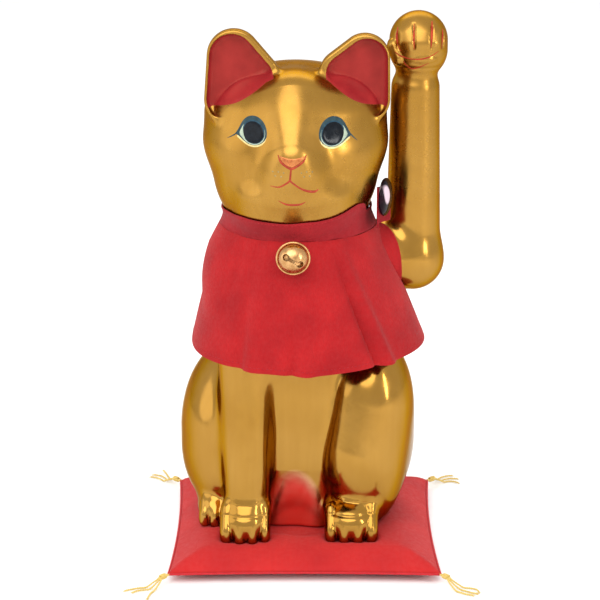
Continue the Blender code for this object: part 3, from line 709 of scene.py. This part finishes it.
def tail(p):
    """A short tail curled round the back onto the viewer's left haunch."""
    d = limb(p, (18, 84, 46), (-22, 90, 44), 13, 13)
    d = blend(d, limb(p, (-22, 90, 44), (-62, 74, 50), 13, 12), 8)
    return blend(d, limb(p, (-62, 74, 50), (-86, 50, 60), 12, 10), 8)


def hind_paw(p):
    """The hind paw that shows beside the standing foreleg."""
    d = swept(p, (-80, -14, 34), (-80, 6, 36), (15, 24, 17))
    for x, y in ((-88, -30), (-79, -33), (-70, -32)):
        d = blend(d, swept(p, (x, y + 6, SEAT_Z + 14), (x, y, SEAT_Z + 8), (5.4, 8, 12)), 1.6)
    return d


def body_form(p):
    d = trunk(p)
    d = local(d, p, (-112, -62, 10), (-48, 46, 74), 6, hind_paw)
    d = local(d, p, (-116, 20, 10), (48, 122, 90), 8, tail)
    d = local(d, p, (-92, -112, 0), (-10, -8, 74), 9, lambda q: foot(q, -51, -62, 22.5))
    d = local(d, p, (2, -112, 0), (88, -6, 74), 9, lambda q: foot(q, 40.5, -60, 23.5))
    tucked = np.maximum(76 - p[..., 2], 0) * np.exp(-((p[..., 0] + 8) / 17) ** 2) * (p[..., 1] < -24)
    d = d + 0.16 * tucked
    d = local(d, p, (-125, -130, 270), (112, 110, 490), 8, head)
    d = local(d, p, (-108, -70, 350), (0, 20, 490), 6, lambda q: ear(q, **LEFT_EAR))
    d = local(d, p, (-14, -66, 350), (94, 24, 490), 6, lambda q: ear(q, **RIGHT_EAR))
    return carve(d, p[..., 2] - SEAT_Z, 3)


# Grooves between the toes of the raised paw: x, lowest and highest z.
RAISED_GROOVES = ((79.5, 440, 457), (93.0, 440, 464), (108.3, 440, 464), (117.6, 440, 458))


def grooved(p, d, grooves, depth, width, front_y):
    """Presses upright grooves into the front of a form."""
    for x, low, high in grooves:
        ends = np.clip(np.minimum(p[..., 2] - low, high - p[..., 2]) / 4, 0.0, 1.0) * (p[..., 1] < front_y)
        d = d + depth * np.exp(-((p[..., 0] - x) / width) ** 2) * ends
    return d


def arm_form(p):
    d = limb(p, (95.5, 28, 250), (96, 22, 404), 24.5, 21)
    d = blend(d, limb(p, (95.5, 28, 250), (50, 14, 258), 24.5, 32), 14)
    d = blend(d, swept(p, (98.0, 18, 438), (98.0, 18, 446), (25.2, 23, 25.5)), 8)
    d = blend(d, swept(p, (99, 5, 446), (99, 8, 452), (20, 11, 9)), 5)
    d = blend(d, swept(p, (76.5, 9, 443), (80, 6, 433), (6, 8, 7)), 1.5)
    d = grooved(p, d, RAISED_GROOVES, 1.5, 1.4, 16)
    d = blend(d, swept(p, (100, 3.5, 433), (100, 3.5, 433), (14, 9, 6)), 1.0)
    return pressed(p, d, 99, 424.5, 24, 0.7, 1.6, 12)


def slope(form, p, step=0.5):
    """The direction in which a form's distance grows, as unit vectors."""
    grad = np.empty_like(p)
    for axis in range(3):
        shift = np.zeros(3, np.float32)
        shift[axis] = step
        grad[..., axis] = form(p + shift) - form(p - shift)
    return grad / np.maximum(np.linalg.norm(grad, axis=-1, keepdims=True), 1e-9)


BLOCK = 4  # points along a side of the blocks that a form is first tried in


def sampled(form, low, high, step):
    """The form's value on a grid, worked out only in the blocks that its surface may pass through."""
    counts = [math.ceil((high[i] - low[i]) / step / BLOCK) for i in range(3)]
    centre = (np.stack(np.indices(counts), -1).astype(np.float32) + 0.5) * BLOCK * step + low
    rough = form(centre)
    value = np.repeat(np.repeat(np.repeat(rough, BLOCK, 0), BLOCK, 1), BLOCK, 2)
    blocks = np.argwhere(np.abs(rough) < BLOCK * step * 1.5) * BLOCK
    within = np.stack(np.indices((BLOCK,) * 3), -1).reshape(-1, 3)
    nodes = (blocks[:, None] + within).reshape(-1, 3)
    value[tuple(nodes.T)] = form(nodes.astype(np.float32) * step + low)
    return value


def surface_net(form, low, high, step):
    """The form's surface as quads: one point in each grid cell that the surface passes through."""
    low = np.asarray(low, np.float32)
    value = sampled(form, low, high, step)
    crossings, rings = [], []
    for axis in range(3):
        near, far = [slice(1, -1)] * 3, [slice(1, -1)] * 3
        near[axis], far[axis] = slice(0, -1), slice(1, None)
        first, second = value[tuple(near)], value[tuple(far)]
        corner = np.argwhere((first < 0) != (second < 0))
        first, second = first[tuple(corner.T)], second[tuple(corner.T)]
        corner += [0 if i == axis else 1 for i in range(3)]
        point = corner.astype(np.float32)
        point[:, axis] += first / (first - second)
        ring = []
        for shift_b, shift_c in ((1, 1), (0, 1), (0, 0), (1, 0)):
            cell = corner.copy()
            cell[:, (axis + 1) % 3] -= shift_b
            cell[:, (axis + 2) % 3] -= shift_c
            ring.append(np.ravel_multi_index(tuple(cell.T), value.shape))
        ring = np.stack(ring, 1)
        outwards = first > 0
        ring[outwards] = ring[outwards][:, ::-1]
        crossings.append(point)
        rings.append(ring)
    crossings = np.repeat(np.concatenate(crossings), 4, axis=0)
    cells, number = np.unique(np.concatenate(rings), return_inverse=True)
    number = number.reshape(-1, 4)
    count = np.bincount(number.ravel())
    points = np.stack([np.bincount(number.ravel(), crossings[:, i]) / count for i in range(3)], 1)
    return drawn_onto(form, (points * step + low).astype(np.float32)), number


def drawn_onto(form, points, step=0.2):
    """Points moved along the form's slope until they lie on its surface."""
    for _ in range(2):
        value = form(points)
        shifts = np.eye(3, dtype=np.float32) * step
        grad = np.stack([form(points + shift) - value for shift in shifts], -1) / step
        points = points - grad * (value / np.maximum((grad ** 2).sum(-1), 0.05))[:, None]
    return points


def settle(points, forms, margin, rounds=6):
    """Moves cloth points outwards until they are at least margin clear of every form."""
    points = np.asarray(points, np.float32)
    for _ in range(rounds):
        for form in forms:
            short = np.maximum(margin - form(points), 0.0)
            points = points + slope(form, points) * short[..., None]
    return points


def onto(form, places, start_y=-130.0):
    """Points where lines along +Y through these (x, z) places first meet a form."""
    places = np.asarray(places, np.float32)
    p = np.stack([places[:, 0], np.full(len(places), start_y, np.float32), places[:, 1]], 1)
    for _ in range(30):
        p[:, 1] += form(p) * 0.95
    return p


# ---- the gilded ceramic

FLOOR_Z = SEAT_Z + 10.0  # floor of the hollow inside the foot ring
RECESS_R = 46.0
FIGURE_BOX = ((-118, -96, 12), (106, 108, 472))
ARM_BOX = ((8, -24, 206), (132, 66, 482))
UNPAINTED = 9.0  # a distance from the ears' paint that leaves a point gilded
STOPPER_XY = (-3.0, 18.0)


def with_foot_ring(p):
    """The body with the round recess in its underside."""
    flat = np.hypot(p[..., 0] - STOPPER_XY[0], p[..., 1] - STOPPER_XY[1])
    return carve(body_form(p), np.maximum(flat - RECESS_R, p[..., 2] - FLOOR_Z), 1.5)


def store_paint(obj, values):
    attribute = obj.data.attributes.new("ear_paint", "FLOAT", "POINT")
    attribute.data.foreach_set("value", values.astype(np.float32))


def ceramic():
    points, faces = surface_net(with_foot_ring, *FIGURE_BOX, NET_STEP)
    body = piece("cat_body", points, faces, GOLD, "figure", "gold_plate", ["body_casting"],
                 slope(with_foot_ring, points))
    store_paint(body, np.minimum(ear_paint(points, **LEFT_EAR), ear_paint(points, **RIGHT_EAR)))

    def joined_arm(p):
        return carve(arm_form(p), body_form(p) + 1.0, 0.4)

    points, faces = surface_net(joined_arm, *ARM_BOX, NET_STEP)
    arm = piece("cat_raised_arm", points, faces, GOLD, "figure", "gold_plate", ["raised_arm"],
                slope(joined_arm, points))
    store_paint(arm, np.full(len(points), UNPAINTED))


# ---- the painted face and toes

def painted(name, shape, mat):
    """A piece of the painting on the ceramic, from its (points, faces)."""
    piece(name, *shape, mat, "figure", "gold_plate")


def patch(outline, centre, form, lift, rings=7, sink=0.35):
    """A closed lens of enamel over a form: outline is (x, z) places round centre."""
    outline, centre = np.asarray(outline, float), np.asarray(centre, float)
    count = len(outline)
    shares = np.linspace(0, 1, rings + 1)[1:]
    places = np.concatenate([[centre]] + [centre + (outline - centre) * share for share in shares])
    ground = onto(form, places)
    out = slope(form, ground)
    share = np.concatenate([[0.0], np.repeat(shares, count)])
    top = ground + out * (lift * (1 - share ** 6) - sink * 0.15 * share ** 6)[:, None]
    under = ground - out * sink
    faces = []
    for layer, flip in ((0, False), (len(places), True)):
        for k in range(count):
            after = (k + 1) % count
            cells = [(0, 1 + k, 1 + after)]
            for ring in range(rings - 1):
                a = 1 + ring * count
                cells.append((a + k, a + count + k, a + count + after, a + after))
            faces += [tuple(layer + v for v in (reversed(cell) if flip else cell)) for cell in cells]
    rim = 1 + (rings - 1) * count
    for k in range(count):
        after = (k + 1) % count
        faces.append((rim + k, len(places) + rim + k, len(places) + rim + after, rim + after))
    return np.concatenate([top, under]), [tuple(reversed(face)) for face in faces]


def stroke(route, widths, form, steps=8, raise_by=0.55):
    """A painted line over a form, from its (x, z) places and its width at each."""
    flat = smooth_route([(x, z, w) for (x, z), w in zip(route, widths)], steps)
    ground = onto(form, flat[:, :2])
    return tube(ground, np.maximum(flat[:, 2], 0.15) / 2, 10, raise_by, slope(form, ground).astype(float))


def circle(centre, radius, count=48):
    turn = np.arange(count) / count * math.tau
    return np.stack([centre[0] + radius * np.cos(turn), centre[1] + radius * np.sin(turn)], 1)


def almond(centre, radius, corner, lid=0.0, count=96):
    """A round eye drawn out to a corner. lid raises its upper edge by this share."""
    turn = np.arange(count) / count * math.tau
    reach = math.hypot(corner[0] - centre[0], corner[1] - centre[1])
    heading = math.atan2(corner[1] - centre[1], corner[0] - centre[0])
    off = np.abs((turn - heading + math.pi) % math.tau - math.pi)
    drawn = (reach - radius) * np.exp(-(off / 0.30) ** 1.15)
    out = radius + drawn + radius * lid * np.maximum(np.sin(turn), 0) ** 2
    return np.stack([centre[0] + out * np.cos(turn), centre[1] + out * np.sin(turn)], 1)


EYES = {
    "left": dict(centre=(-42.6, 381.8), iris=10.5, corner=(-65.0, 374.6)),
    "right": dict(centre=(23.6, 381.2), iris=11.0, corner=(44.5, 373.6)),
}


WHISKER_DOTS = (
    (-26.5, 353.6), (-21.8, 354.0), (-17.4, 353.4), (-24.4, 350.2), (-19.4, 350.0),
    (-2.6, 353.4), (1.8, 354.0), (6.4, 353.6), (-0.4, 350.0), (4.4, 350.2),
)


def eye(side, centre, iris, corner):
    x, z = centre
    away = 1 if corner[0] > x else -1
    layers = (
        ("rim", EYE_RIM, almond((x, z - 0.9), iris + 1.3, (x + away * (iris + 5), z - 5)), 0.10),
        ("line", EYE_LINE, almond((x, z + 0.5), iris + 1.3, (x + away * (iris + 5.5), z - 2.6), 0.12), 0.20),
        ("white", EYE_WHITE, almond((x, z + 0.1), iris + 0.45, (x + away * (iris + 3.4), z - 2.2)), 0.30),
        ("iris", EYE_IRIS, circle((x, z + 0.3), iris), 0.42),
        ("pupil", EYE_PUPIL, circle(centre, iris - 1.1), 0.85),
    )
    for part, mat, outline, lift in layers:
        painted(f"eye_{side}_{part}", patch(outline, centre, head, lift, 8), mat)
    route = [(x + away * (iris + 1.0), z + 1.4), (x + away * (iris + 5.0), z - 3.0),
             ((x + away * (iris + 5.0) + corner[0]) / 2, (z - 3.4 + corner[1]) / 2), corner]
    painted(f"eye_{side}_corner", stroke(route, [1.4, 1.3, 0.9, 0.3], head), EYE_LINE)


def face():
    for side, sizes in EYES.items():
        eye(side, **sizes)
    nose = [(-21.4, 367.8), (-19.6, 363.0), (-16.8, 360.6), (-14.0, 359.0), (-10.6, 357.9), (-7.0, 359.8),
            (-3.6, 362.0), (-1.0, 364.6), (0.9, 367.8), (-3.0, 366.6), (-10.0, 365.6), (-17.0, 366.6)]
    nose = smooth_route([(x, z, 0) for x, z in nose + nose[:1]], 4)[:-1, :2]
    painted("nose_tip", patch(nose, (-10.2, 362.6), head, 0.3, 6), NOSE_COPPER)
    lines = [
        stroke([(-22.0, 367.9), (-19.8, 362.4), (-14.6, 358.5), (-10.6, 357.1), (-5.7, 359.5), (-0.8, 363.3),
                (1.4, 367.9)], [0.9, 1.7, 1.8, 2.0, 1.8, 1.7, 0.9], head),
        stroke([(-11.2, 357.0), (-11.7, 351.6), (-12.1, 346.4)], [1.3, 1.6, 1.7], head),
        stroke([(-12.0, 346.7), (-15.5, 343.9), (-21.4, 340.6), (-28.6, 340.8)], [1.7, 1.6, 1.3, 0.5], head),
        stroke([(-12.0, 346.7), (-9.5, 344.2), (-3.7, 339.8), (2.3, 337.0), (8.3, 335.8), (11.6, 337.4)],
               [1.7, 1.6, 1.6, 2.2, 2.2, 0.8], head),
        stroke([(-21.8, 327.9), (-15.5, 324.9), (-9.5, 324.3), (-3.7, 324.8), (0.8, 327.0)],
               [0.5, 1.7, 2.0, 1.7, 0.5], head),
    ]
    painted("face_lines", joined(lines), LINE_RED)
    dots = [patch(circle(place, 0.75, 14), place, head, 0.25, 3) for place in WHISKER_DOTS]
    painted("whisker_dots", joined(dots), WHISKER)
    grooves = [
        stroke([(79.6, 459.0), (78.8, 452.0), (79.4, 445.0), (82.0, 439.5)], [0.8, 2.2, 1.8, 0.6], arm_form),
        stroke([(93.2, 463.0), (92.9, 453.0), (93.0, 441.5)], [0.7, 2.2, 0.8], arm_form),
        stroke([(108.6, 464.5), (108.3, 455.0), (107.6, 443.0)], [0.8, 3.0, 1.0], arm_form),
        stroke([(117.8, 457.5), (117.6, 451.0), (116.8, 441.0)], [0.8, 2.4, 0.8], arm_form),
        stroke([(77.0, 439.0), (82.0, 435.4), (89.7, 433.4), (98.5, 433.4), (107.3, 435.4), (114.5, 439.6)],
               [0.5, 1.3, 1.0, 1.2, 1.0, 0.5], arm_form),
        stroke([(84.2, 431.0), (87.5, 426.6), (92.5, 424.2), (99.0, 426.4), (106.0, 429.8)],
               [0.5, 1.1, 1.3, 1.1, 0.5], arm_form),
    ]
    painted("paw_grooves", joined(grooves), GROOVE_RED)


ceramic()
face()


# ---- the bib, collar and flap

COLLAR_BOTTOM = 288.0  # heights above the table
COLLAR_TOP = 310.5
HEM_Z = 179.0
CLOTH_GAP = 0.3
BIB_CENTRE = (-5.0, 0.0)
BAND_CENTRE = (-6.0, -2.0)
BIB_ANGLE = 96.0  # degrees from the front to each side edge
BIB_THICK = 1.3
NECK_WIDTH, NECK_DEPTH = 64.0, 66.0  # from the bib's centre to the cape's top edge, sideways and forwards
FLARE_LEFT, FLARE_RIGHT, FLARE_FRONT = 30.0, 44.0, 26.0  # how much farther out its hem lies
BAND_WIDTH, BAND_DEPTH = 62.5, 62.0
BAND_START, BAND_SWEEP = -225.0, 322.0  # degrees from the front to one end of the band, and on to the other


def bump_at(value, centre, width):
    return np.exp(-((value - centre) / width) ** 2)


def cloth_piece(name, columns, rows, place, flat, forms, margin, mat, replaced):
    """A thin closed sheet whose grid follows place(s, t) and is then kept clear of the forms.

    The margin from them grows from its first value at the top edge to its second.
    """
    s, t = [x.ravel() for x in np.meshgrid(np.linspace(0, 1, columns + 1), np.linspace(0, 1, rows + 1))]
    points = settle(place(s, t), forms, margin[0] + (margin[1] - margin[0]) * np.clip(t * 6, 0, 1))
    obj = piece(name, points, sheet_faces(columns, rows), mat, "figure", "bib_cloth", [replaced])
    place_cloth(obj, np.stack([s, t], 1) * flat)
    solid = obj.modifiers.new("cloth", "SOLIDIFY")
    solid.thickness = BIB_THICK * MM
    solid.offset = 1.0
    bevel = obj.modifiers.new("soft_edge", "BEVEL")
    bevel.width = BIB_THICK * 0.4 * MM
    bevel.segments = 2
    bevel.limit_method = "ANGLE"
    bevel.angle_limit = math.radians(50)
    return apply_modifiers(obj), points


def stitches(name, line, middle, pitch, length, thick):
    """A row of short raised stitches on cloth that faces away from an upright axis through middle."""
    out = unit((line - middle) * (1.0, 1.0, 0.0))
    path = line + out * BIB_THICK
    run = along(path)
    hump = np.sin(np.linspace(0, math.pi, 5))
    parts = []
    for start in np.arange(pitch / 2, run[-1] - length, pitch):
        at = np.linspace(start, start + length, 5)
        centre = np.stack([np.interp(at, run, path[:, i]) for i in range(3)], 1)
        up = np.stack([np.interp(at, run, out[:, i]) for i in range(3)], 1)
        centre = centre + up * (thick * (0.55 * hump - 0.25))[:, None]
        parts.append(tube(centre, thick * (0.55 + 0.45 * hump), 6))
    piece(name, *joined(parts), STITCH_RED, "figure", "bib_cloth")


def bib_place(s, t):
    """The cape's place from its left edge to its right and from its collar down, with its standing folds."""
    side = 2 * s - 1
    angle = np.radians(BIB_ANGLE * side)
    start = 1.6 * np.clip(1 - t * 6, 0, 1)
    half_width = NECK_WIDTH - start + np.where(side < 0, FLARE_LEFT, FLARE_RIGHT) * t ** 0.85
    depth = NECK_DEPTH - start + FLARE_FRONT * t ** 0.8
    degrees = np.degrees(angle)
    fold = 25 + 16 * t
    drop, low = np.clip(t * 1.6, 0, 1), np.clip(t * 2 - 0.7, 0, 1)
    out = 0.0
    for height, centre, width, share in (
        (6.4, fold + 4.4, 3.8, drop), (-4.6, fold - 1.8, 2.0, drop),
        (3.4, 2 + 2 * t, 3, low), (-3.0, -3.5, 2.4, low),
        (3.0, -24, 6, t), (-2.2, -33, 4, t),
    ):
        out = out + height * bump_at(degrees, centre, width) * share
    out += 1.8 * np.sin(degrees / 11.0 + 0.6) * t ** 2 * (np.abs(degrees) > 30)
    out += 0.5 * np.sin(degrees / 3.7) * (1 - t) ** 2
    half_width, depth = half_width + out, depth + out
    z = COLLAR_BOTTOM - CLOTH_GAP + (HEM_Z + 10 * side ** 2 - COLLAR_BOTTOM) * t
    z = z - 1.2 * t * bump_at(degrees, 4, 12)
    return np.stack([BIB_CENTRE[0] + half_width * np.sin(angle), BIB_CENTRE[1] - depth * np.cos(angle), z], 1)


def band_place(s, t):
    """The collar band's place, with its upper edge raised beside the button."""
    angle = np.radians(BAND_START + BAND_SWEEP * s)
    degrees = np.degrees(angle)
    rise = 8.0 * np.clip(np.minimum((degrees - 12) / 38, (66 - degrees) / 8), 0, 1)
    rise = rise - 2.5 * np.clip((np.abs(degrees) - 40) / 30, 0, 1)
    z = COLLAR_TOP + rise * (1 - t) + (COLLAR_BOTTOM - COLLAR_TOP) * t
    z = z + 0.5 * np.sin(angle * 9) * (1 - t)
    out = 0.35 * np.sin(angle * 14 + 3 * t) + 0.5 * np.sin(t * math.pi)
    x = BAND_CENTRE[0] + (BAND_WIDTH + out) * np.sin(angle)
    return np.stack([x, BAND_CENTRE[1] - (BAND_DEPTH + out) * np.cos(angle), z], 1)


def flap_place(s, t):
    """The flap under the button, flaring outwards towards its free end."""
    flare = 12.0 * np.maximum(0.0, s - 0.45) ** 1.5 / 0.41
    return np.stack([62.0 + flare, -34.0 + 32.0 * s, 292.0 + (36.0 - 6.0 * s) * (1 - t)], 1)


def row_of(points, columns, row):
    return points[row * (columns + 1):(row + 1) * (columns + 1)]


def bib():
    columns, rows = 120, 48
    panel, points = cloth_piece("bib_cape", columns, rows, bib_place, (310.0, 112.0), (body_form, arm_form),
                                (1.0, 3.0), BIB_RED, "bib_panel")
    stitches("bib_hem_stitches", row_of(points, columns, rows - 2), (*BIB_CENTRE, 0.0), 3.6, 2.4, 0.35)

    columns, rows = 160, 10
    band, points = cloth_piece("collar_stand", columns, rows, band_place, (350.0, 20.0), (body_form,),
                               (0.6, 0.8), BAND_RED, "collar_band")
    stitches("collar_stitches", row_of(points, columns, 1), (*BAND_CENTRE, 0.0), 3.2, 2.1, 0.4)

    flap, _ = cloth_piece("collar_tab", 24, 20, flap_place, (36.0, 34.0), (body_form, arm_form), (0.8, 0.8),
                          FLAP_RED, "collar_flap")


bib()


# ---- the button

BUTTON_CENTRE = (70.2, -24.0, 317.5)
BUTTON_R = 16.5


def button():
    axis = next(joint["axis"] for joint in frame["joints"] if joint["name"] == "button_turn")
    arc = [(BUTTON_R * math.sin(a), 5.4 * math.cos(a) - 1.4) for a in np.linspace(0, math.pi / 2, 15)]
    profile = arc + [(16.3, -2.2), (15.6, -3.0), (12.0, -3.6), (0.0, -3.6)]
    turned("button_dome", profile, BUTTON_PAINTED_HIGHLIGHT, "button", facing(BUTTON_CENTRE, axis), 72,
           ["collar_button"], 60.0)


button()


# ---- the bell

BELL_CENTRE = Vector((-9.6, -83.4, 279.0))
BELL_R = 12.4
BELL_WALL = 0.8
BELL_ROLL = 27.0  # degrees that the slit leans
BELL_DEPTH = 10.5  # depth of the front half; the back half is flattened by BELL_FLAT
BELL_FLAT = 2.5
HOLE_R = 3.0
HOLE_REACH = 6.4  # from the bell's middle to each hole at the ends of its slit
SLIT = 3.0
GIRDLE_R = 14.6


def bell_half(name, depth, axis, node):
    """One pressed half of the bell."""
    arc = np.linspace(0, math.pi / 2, 17)
    inner = [((BELL_R - BELL_WALL) * math.cos(a), (depth - BELL_WALL) * math.sin(a)) for a in arc[::-1]]
    outer = [(BELL_R * math.cos(a), depth * math.sin(a)) for a in arc]
    inner[0], outer[-1] = (0.0, depth - BELL_WALL), (0.0, depth)
    profile = [(r, h + CLOTH_GAP / 2) for r, h in inner + outer]
    return turned(name, profile, BELL_GILT, "bell", facing(BELL_CENTRE, axis), 72, [node], 45.0)


def cut(obj, tools):
    for tool in tools:
        tool.data.shade_flat()
        obj.modifiers.new("cut", "BOOLEAN").object = tool
    apply_modifiers(obj)
    for tool in tools:
        bpy.data.objects.remove(tool)


def bell():
    forward = Vector((0, -1, 0))
    front = bell_half("bell_front", BELL_DEPTH, forward, "bell_front_shell")
    bell_half("bell_back", BELL_DEPTH - BELL_FLAT, -forward, "bell_back_shell")
    lean = math.radians(BELL_ROLL)
    across = Vector((math.cos(lean), 0, -math.sin(lean)))
    drill = [(0, 0), (HOLE_R, 0), (HOLE_R, 16), (0, 16)]
    tools = [turned(f"hole_{side}", drill, BELL_GILT, None,
                    facing(BELL_CENTRE + across * HOLE_REACH * side + forward * 3, forward), 32)
             for side in (-1, 1)]
    bm = bmesh.new()
    bmesh.ops.create_cube(bm, size=1.0)
    bmesh.ops.scale(bm, vec=Vector((2 * HOLE_REACH, 12.0, SLIT)) * MM, verts=bm.verts)
    slit = bpy.data.meshes.new("slit")
    bm.to_mesh(slit)
    bm.free()
    slit = shown("slit", slit, BELL_GILT)
    slit.matrix_world = Matrix.Translation((BELL_CENTRE + forward * 10) * MM) @ Matrix.Rotation(lean, 4, "Y")
    cut(front, tools + [slit])
    front.data.set_sharp_from_angle(angle=math.radians(40))

    inner, outer = BELL_R + CLOTH_GAP, GIRDLE_R
    middle, half = (inner + outer) / 2, (outer - inner) / 2
    turn = np.linspace(math.pi, -math.pi, 21)[:-1]
    ring = [(middle + half * math.cos(a), 0.95 * math.sin(a)) for a in turn]
    turned("bell_girdle", ring, BELL_GILT, "bell", facing(BELL_CENTRE, forward), 96,
           ["bell_girdle_ring"], 60.0)


bell()


# ---- the cushion

CUSHION_HALF = 118.0
CUSHION_TOP = SEAT_Z - CLOTH_GAP
CUSHION_PULL = 0.035  # how far a side pulls in, as a share of the half width
SEAM_Z = 8.0
SEAM_REACH = 0.988  # where the cord of the seam runs, as a share of the cushion's half width
SIM_FRAMES = 20
SWELL_CAP = 6.0  # millimetres that the simulation may move a point
CUSHION_CELLS = 46
SEAT_R = 78.0  # the cover is flat this far round the stopper
COVER_LIFT = 0.3  # lowest part of the cover above the table


def cushion_place(u, v, z):
    """Places on the cushion's square, whose sides pull in between its corners."""
    return np.stack([CUSHION_HALF * u * (1 - CUSHION_PULL * (1 - v * v)),
                     CUSHION_HALF * v * (1 - CUSHION_PULL * (1 - u * u)), z], -1)


def cushion_start():
    """Two squares sewn together: their points, faces, flat places and which points are on the seam."""
    n = CUSHION_CELLS
    u, v = [x.ravel() for x in np.meshgrid(np.linspace(-1, 1, n + 1), np.linspace(-1, 1, n + 1))]
    out = np.maximum(np.abs(u), np.abs(v))
    edge = np.clip((out - 0.84) / 0.16, 0, 1)
    top = SEAM_Z + (CUSHION_TOP - 1.2 - SEAM_Z) * (1 - edge ** 2.8)
    low = SEAM_Z - (SEAM_Z - 1.4) * (1 - edge ** 1.8)
    upper, lower = cushion_place(u, v, top), cushion_place(u, v, low)
    faces = [tuple(reversed(f)) for f in sheet_faces(n, n)]
    index = np.arange((n + 1) ** 2)
    on_rim = out > 1 - 1e-6
    partner = np.where(on_rim, index, len(index) + np.cumsum(~on_rim) - 1)
    points = np.concatenate([upper, lower[~on_rim]])
    faces += [tuple(int(partner[k]) for k in reversed(face)) for face in faces]
    flat = np.stack([u, v], 1) * CUSHION_HALF
    seam = np.concatenate([on_rim, np.zeros((~on_rim).sum(), bool)])
    return points, faces, np.concatenate([flat, flat[~on_rim]]), seam


def inflate(obj, start, seam):
    """Fills the cover by a cloth simulation and caps how far each point moves."""
    group = obj.vertex_groups.new(name="seam")
    for index in np.flatnonzero(seam):
        group.add([int(index)], 0.85, "REPLACE")
    mod = obj.modifiers.new("fill", "CLOTH")
    for setting, value in dict(
        quality=5, mass=0.25, tension_stiffness=12, compression_stiffness=6, bending_stiffness=0.25,
        use_pressure=True, uniform_pressure_force=4.0, vertex_group_mass="seam",
    ).items():
        setattr(mod.settings, setting, value)
    mod.settings.effector_weights.gravity = 0.0
    mod.collision_settings.use_collision = False
    scene = bpy.context.scene
    for number in range(1, SIM_FRAMES + 1):
        scene.frame_set(number)
    moved = points_of(obj.evaluated_get(bpy.context.evaluated_depsgraph_get()).data)
    obj.modifiers.clear()
    obj.vertex_groups.clear()
    scene.frame_set(1)
    shift = moved - start
    length = np.maximum(np.linalg.norm(shift, axis=1, keepdims=True), 1e-6)
    return start + shift / length * SWELL_CAP * np.tanh(length / SWELL_CAP)


def under_the_cat(points):
    """Presses the cover down where the figure stands on it, and flat where it lies on the table."""
    points = points.copy()
    for _ in range(4):
        clear = body_form(points.astype(np.float32))
        points[:, 2] -= np.maximum(2 * CLOTH_GAP - clear, 0.0) * (points[:, 2] > SEAM_Z)
    flat = np.hypot(points[:, 0] - STOPPER_XY[0], points[:, 1] - STOPPER_XY[1]) < SEAT_R
    points[flat, 2] = np.minimum(points[flat, 2], CUSHION_TOP)
    points[:, 2] = np.maximum(points[:, 2], COVER_LIFT)
    return points


def cushion():
    start, faces, flat, seam = cushion_start()
    cover = piece("cushion_cover", start, faces, CUSHION_RED, "cushion", "cushion_cloth",
                  ["cushion_top_panel", "cushion_bottom_panel"])
    points = inflate(cover, start, seam)
    points[seam] += (start[seam] - points[seam]) * 0.8
    move_to(cover, under_the_cat(points))
    place_cloth(cover, flat)
    smoothed(cover)
    move_to(cover, under_the_cat(points_of(cover.data)))

    inside = start * (0.955, 0.955, 1.0)
    inside[:, 2] = SEAM_Z + (inside[:, 2] - SEAM_Z) * 0.72
    filling = piece("cotton_wad", under_the_cat(inside - (0, 0, 0.4)), faces, COTTON, "cushion", "cotton",
                    ["cushion_filling"])
    smoothed(filling)

    turn, side, twist = np.linspace(-1, 1, 60), np.ones(60), np.sin(np.arange(60) * 2.4) * 0.12
    for number, (u, v) in enumerate(((turn, -side), (side, turn), (-turn, side), (-side, -turn)), 1):
        line = cushion_place(u * SEAM_REACH, v * SEAM_REACH, SEAM_Z + twist)
        piece(f"cushion_seam_{number}", *tube(line, 1.0, 8), SEAM_RED, "cushion", "cushion_cloth")


cushion()


# ---- CAD pieces that keep their shape

KEPT = {"bell_pellet": STEEL, "bell_loop": BELL_GILT, "bell_thread": THREAD, "button_shank": SHANK,
        "base_stopper": RUBBER}
for node_name, mat in KEPT.items():
    for material_slot in frame["nodes"][node_name].material_slots:
        material_slot.material = mat


# ---- floor and light

def stage():
    mesh = bpy.data.meshes.new("floor")
    mesh.from_pydata([(-4, -4, 0), (4, -4, 0), (4, 4, 0), (-4, 4, 0)], [], [(0, 1, 2, 3)])
    paper = Finish("floor_paper", 0.9)
    paper.colour(paper.speckled((246, 246, 245), (242, 242, 241), (40.0,)))
    mesh.materials.append(paper.mat)
    floor = bpy.data.objects.new("floor", mesh)
    floor.location.z = -0.0002
    bpy.context.scene.collection.objects.link(floor)


LIT_PLACE = Vector((0.0, 0.0, 0.24))


def softbox(name, place, width, height, watts):
    """An oval soft light that faces the middle of the cat."""
    data = bpy.data.lights.new(name, "AREA")
    data.shape = "ELLIPSE"
    data.size, data.size_y = width, height
    data.energy = watts
    obj = bpy.data.objects.new(name, data)
    obj.location = place
    obj.rotation_euler = (LIT_PLACE - Vector(place)).to_track_quat("-Z", "Y").to_euler()
    bpy.context.scene.collection.objects.link(obj)


def lights():
    softbox("key", (-0.6, -2.2, 2.5), 4.0, 3.0, 78.0)
    softbox("fill_left", (-1.8, -0.4, 0.8), 1.4, 1.4, 5.0)
    softbox("strip_right", (1.5, -1.1, 0.7), 0.16, 1.0, 7.0)
    softbox("top_back", (0.0, 1.4, 2.0), 2.6, 1.4, 16.0)
    world = bpy.data.worlds.new("studio")
    world.use_nodes = True
    sky = world.node_tree.nodes["Background"].inputs
    sky["Color"].default_value = (1.0, 1.0, 1.0, 1.0)
    sky["Strength"].default_value = 1.0
    bpy.context.scene.world = world


stage()
lights()
bpy.context.scene.view_settings.view_transform = "Standard"
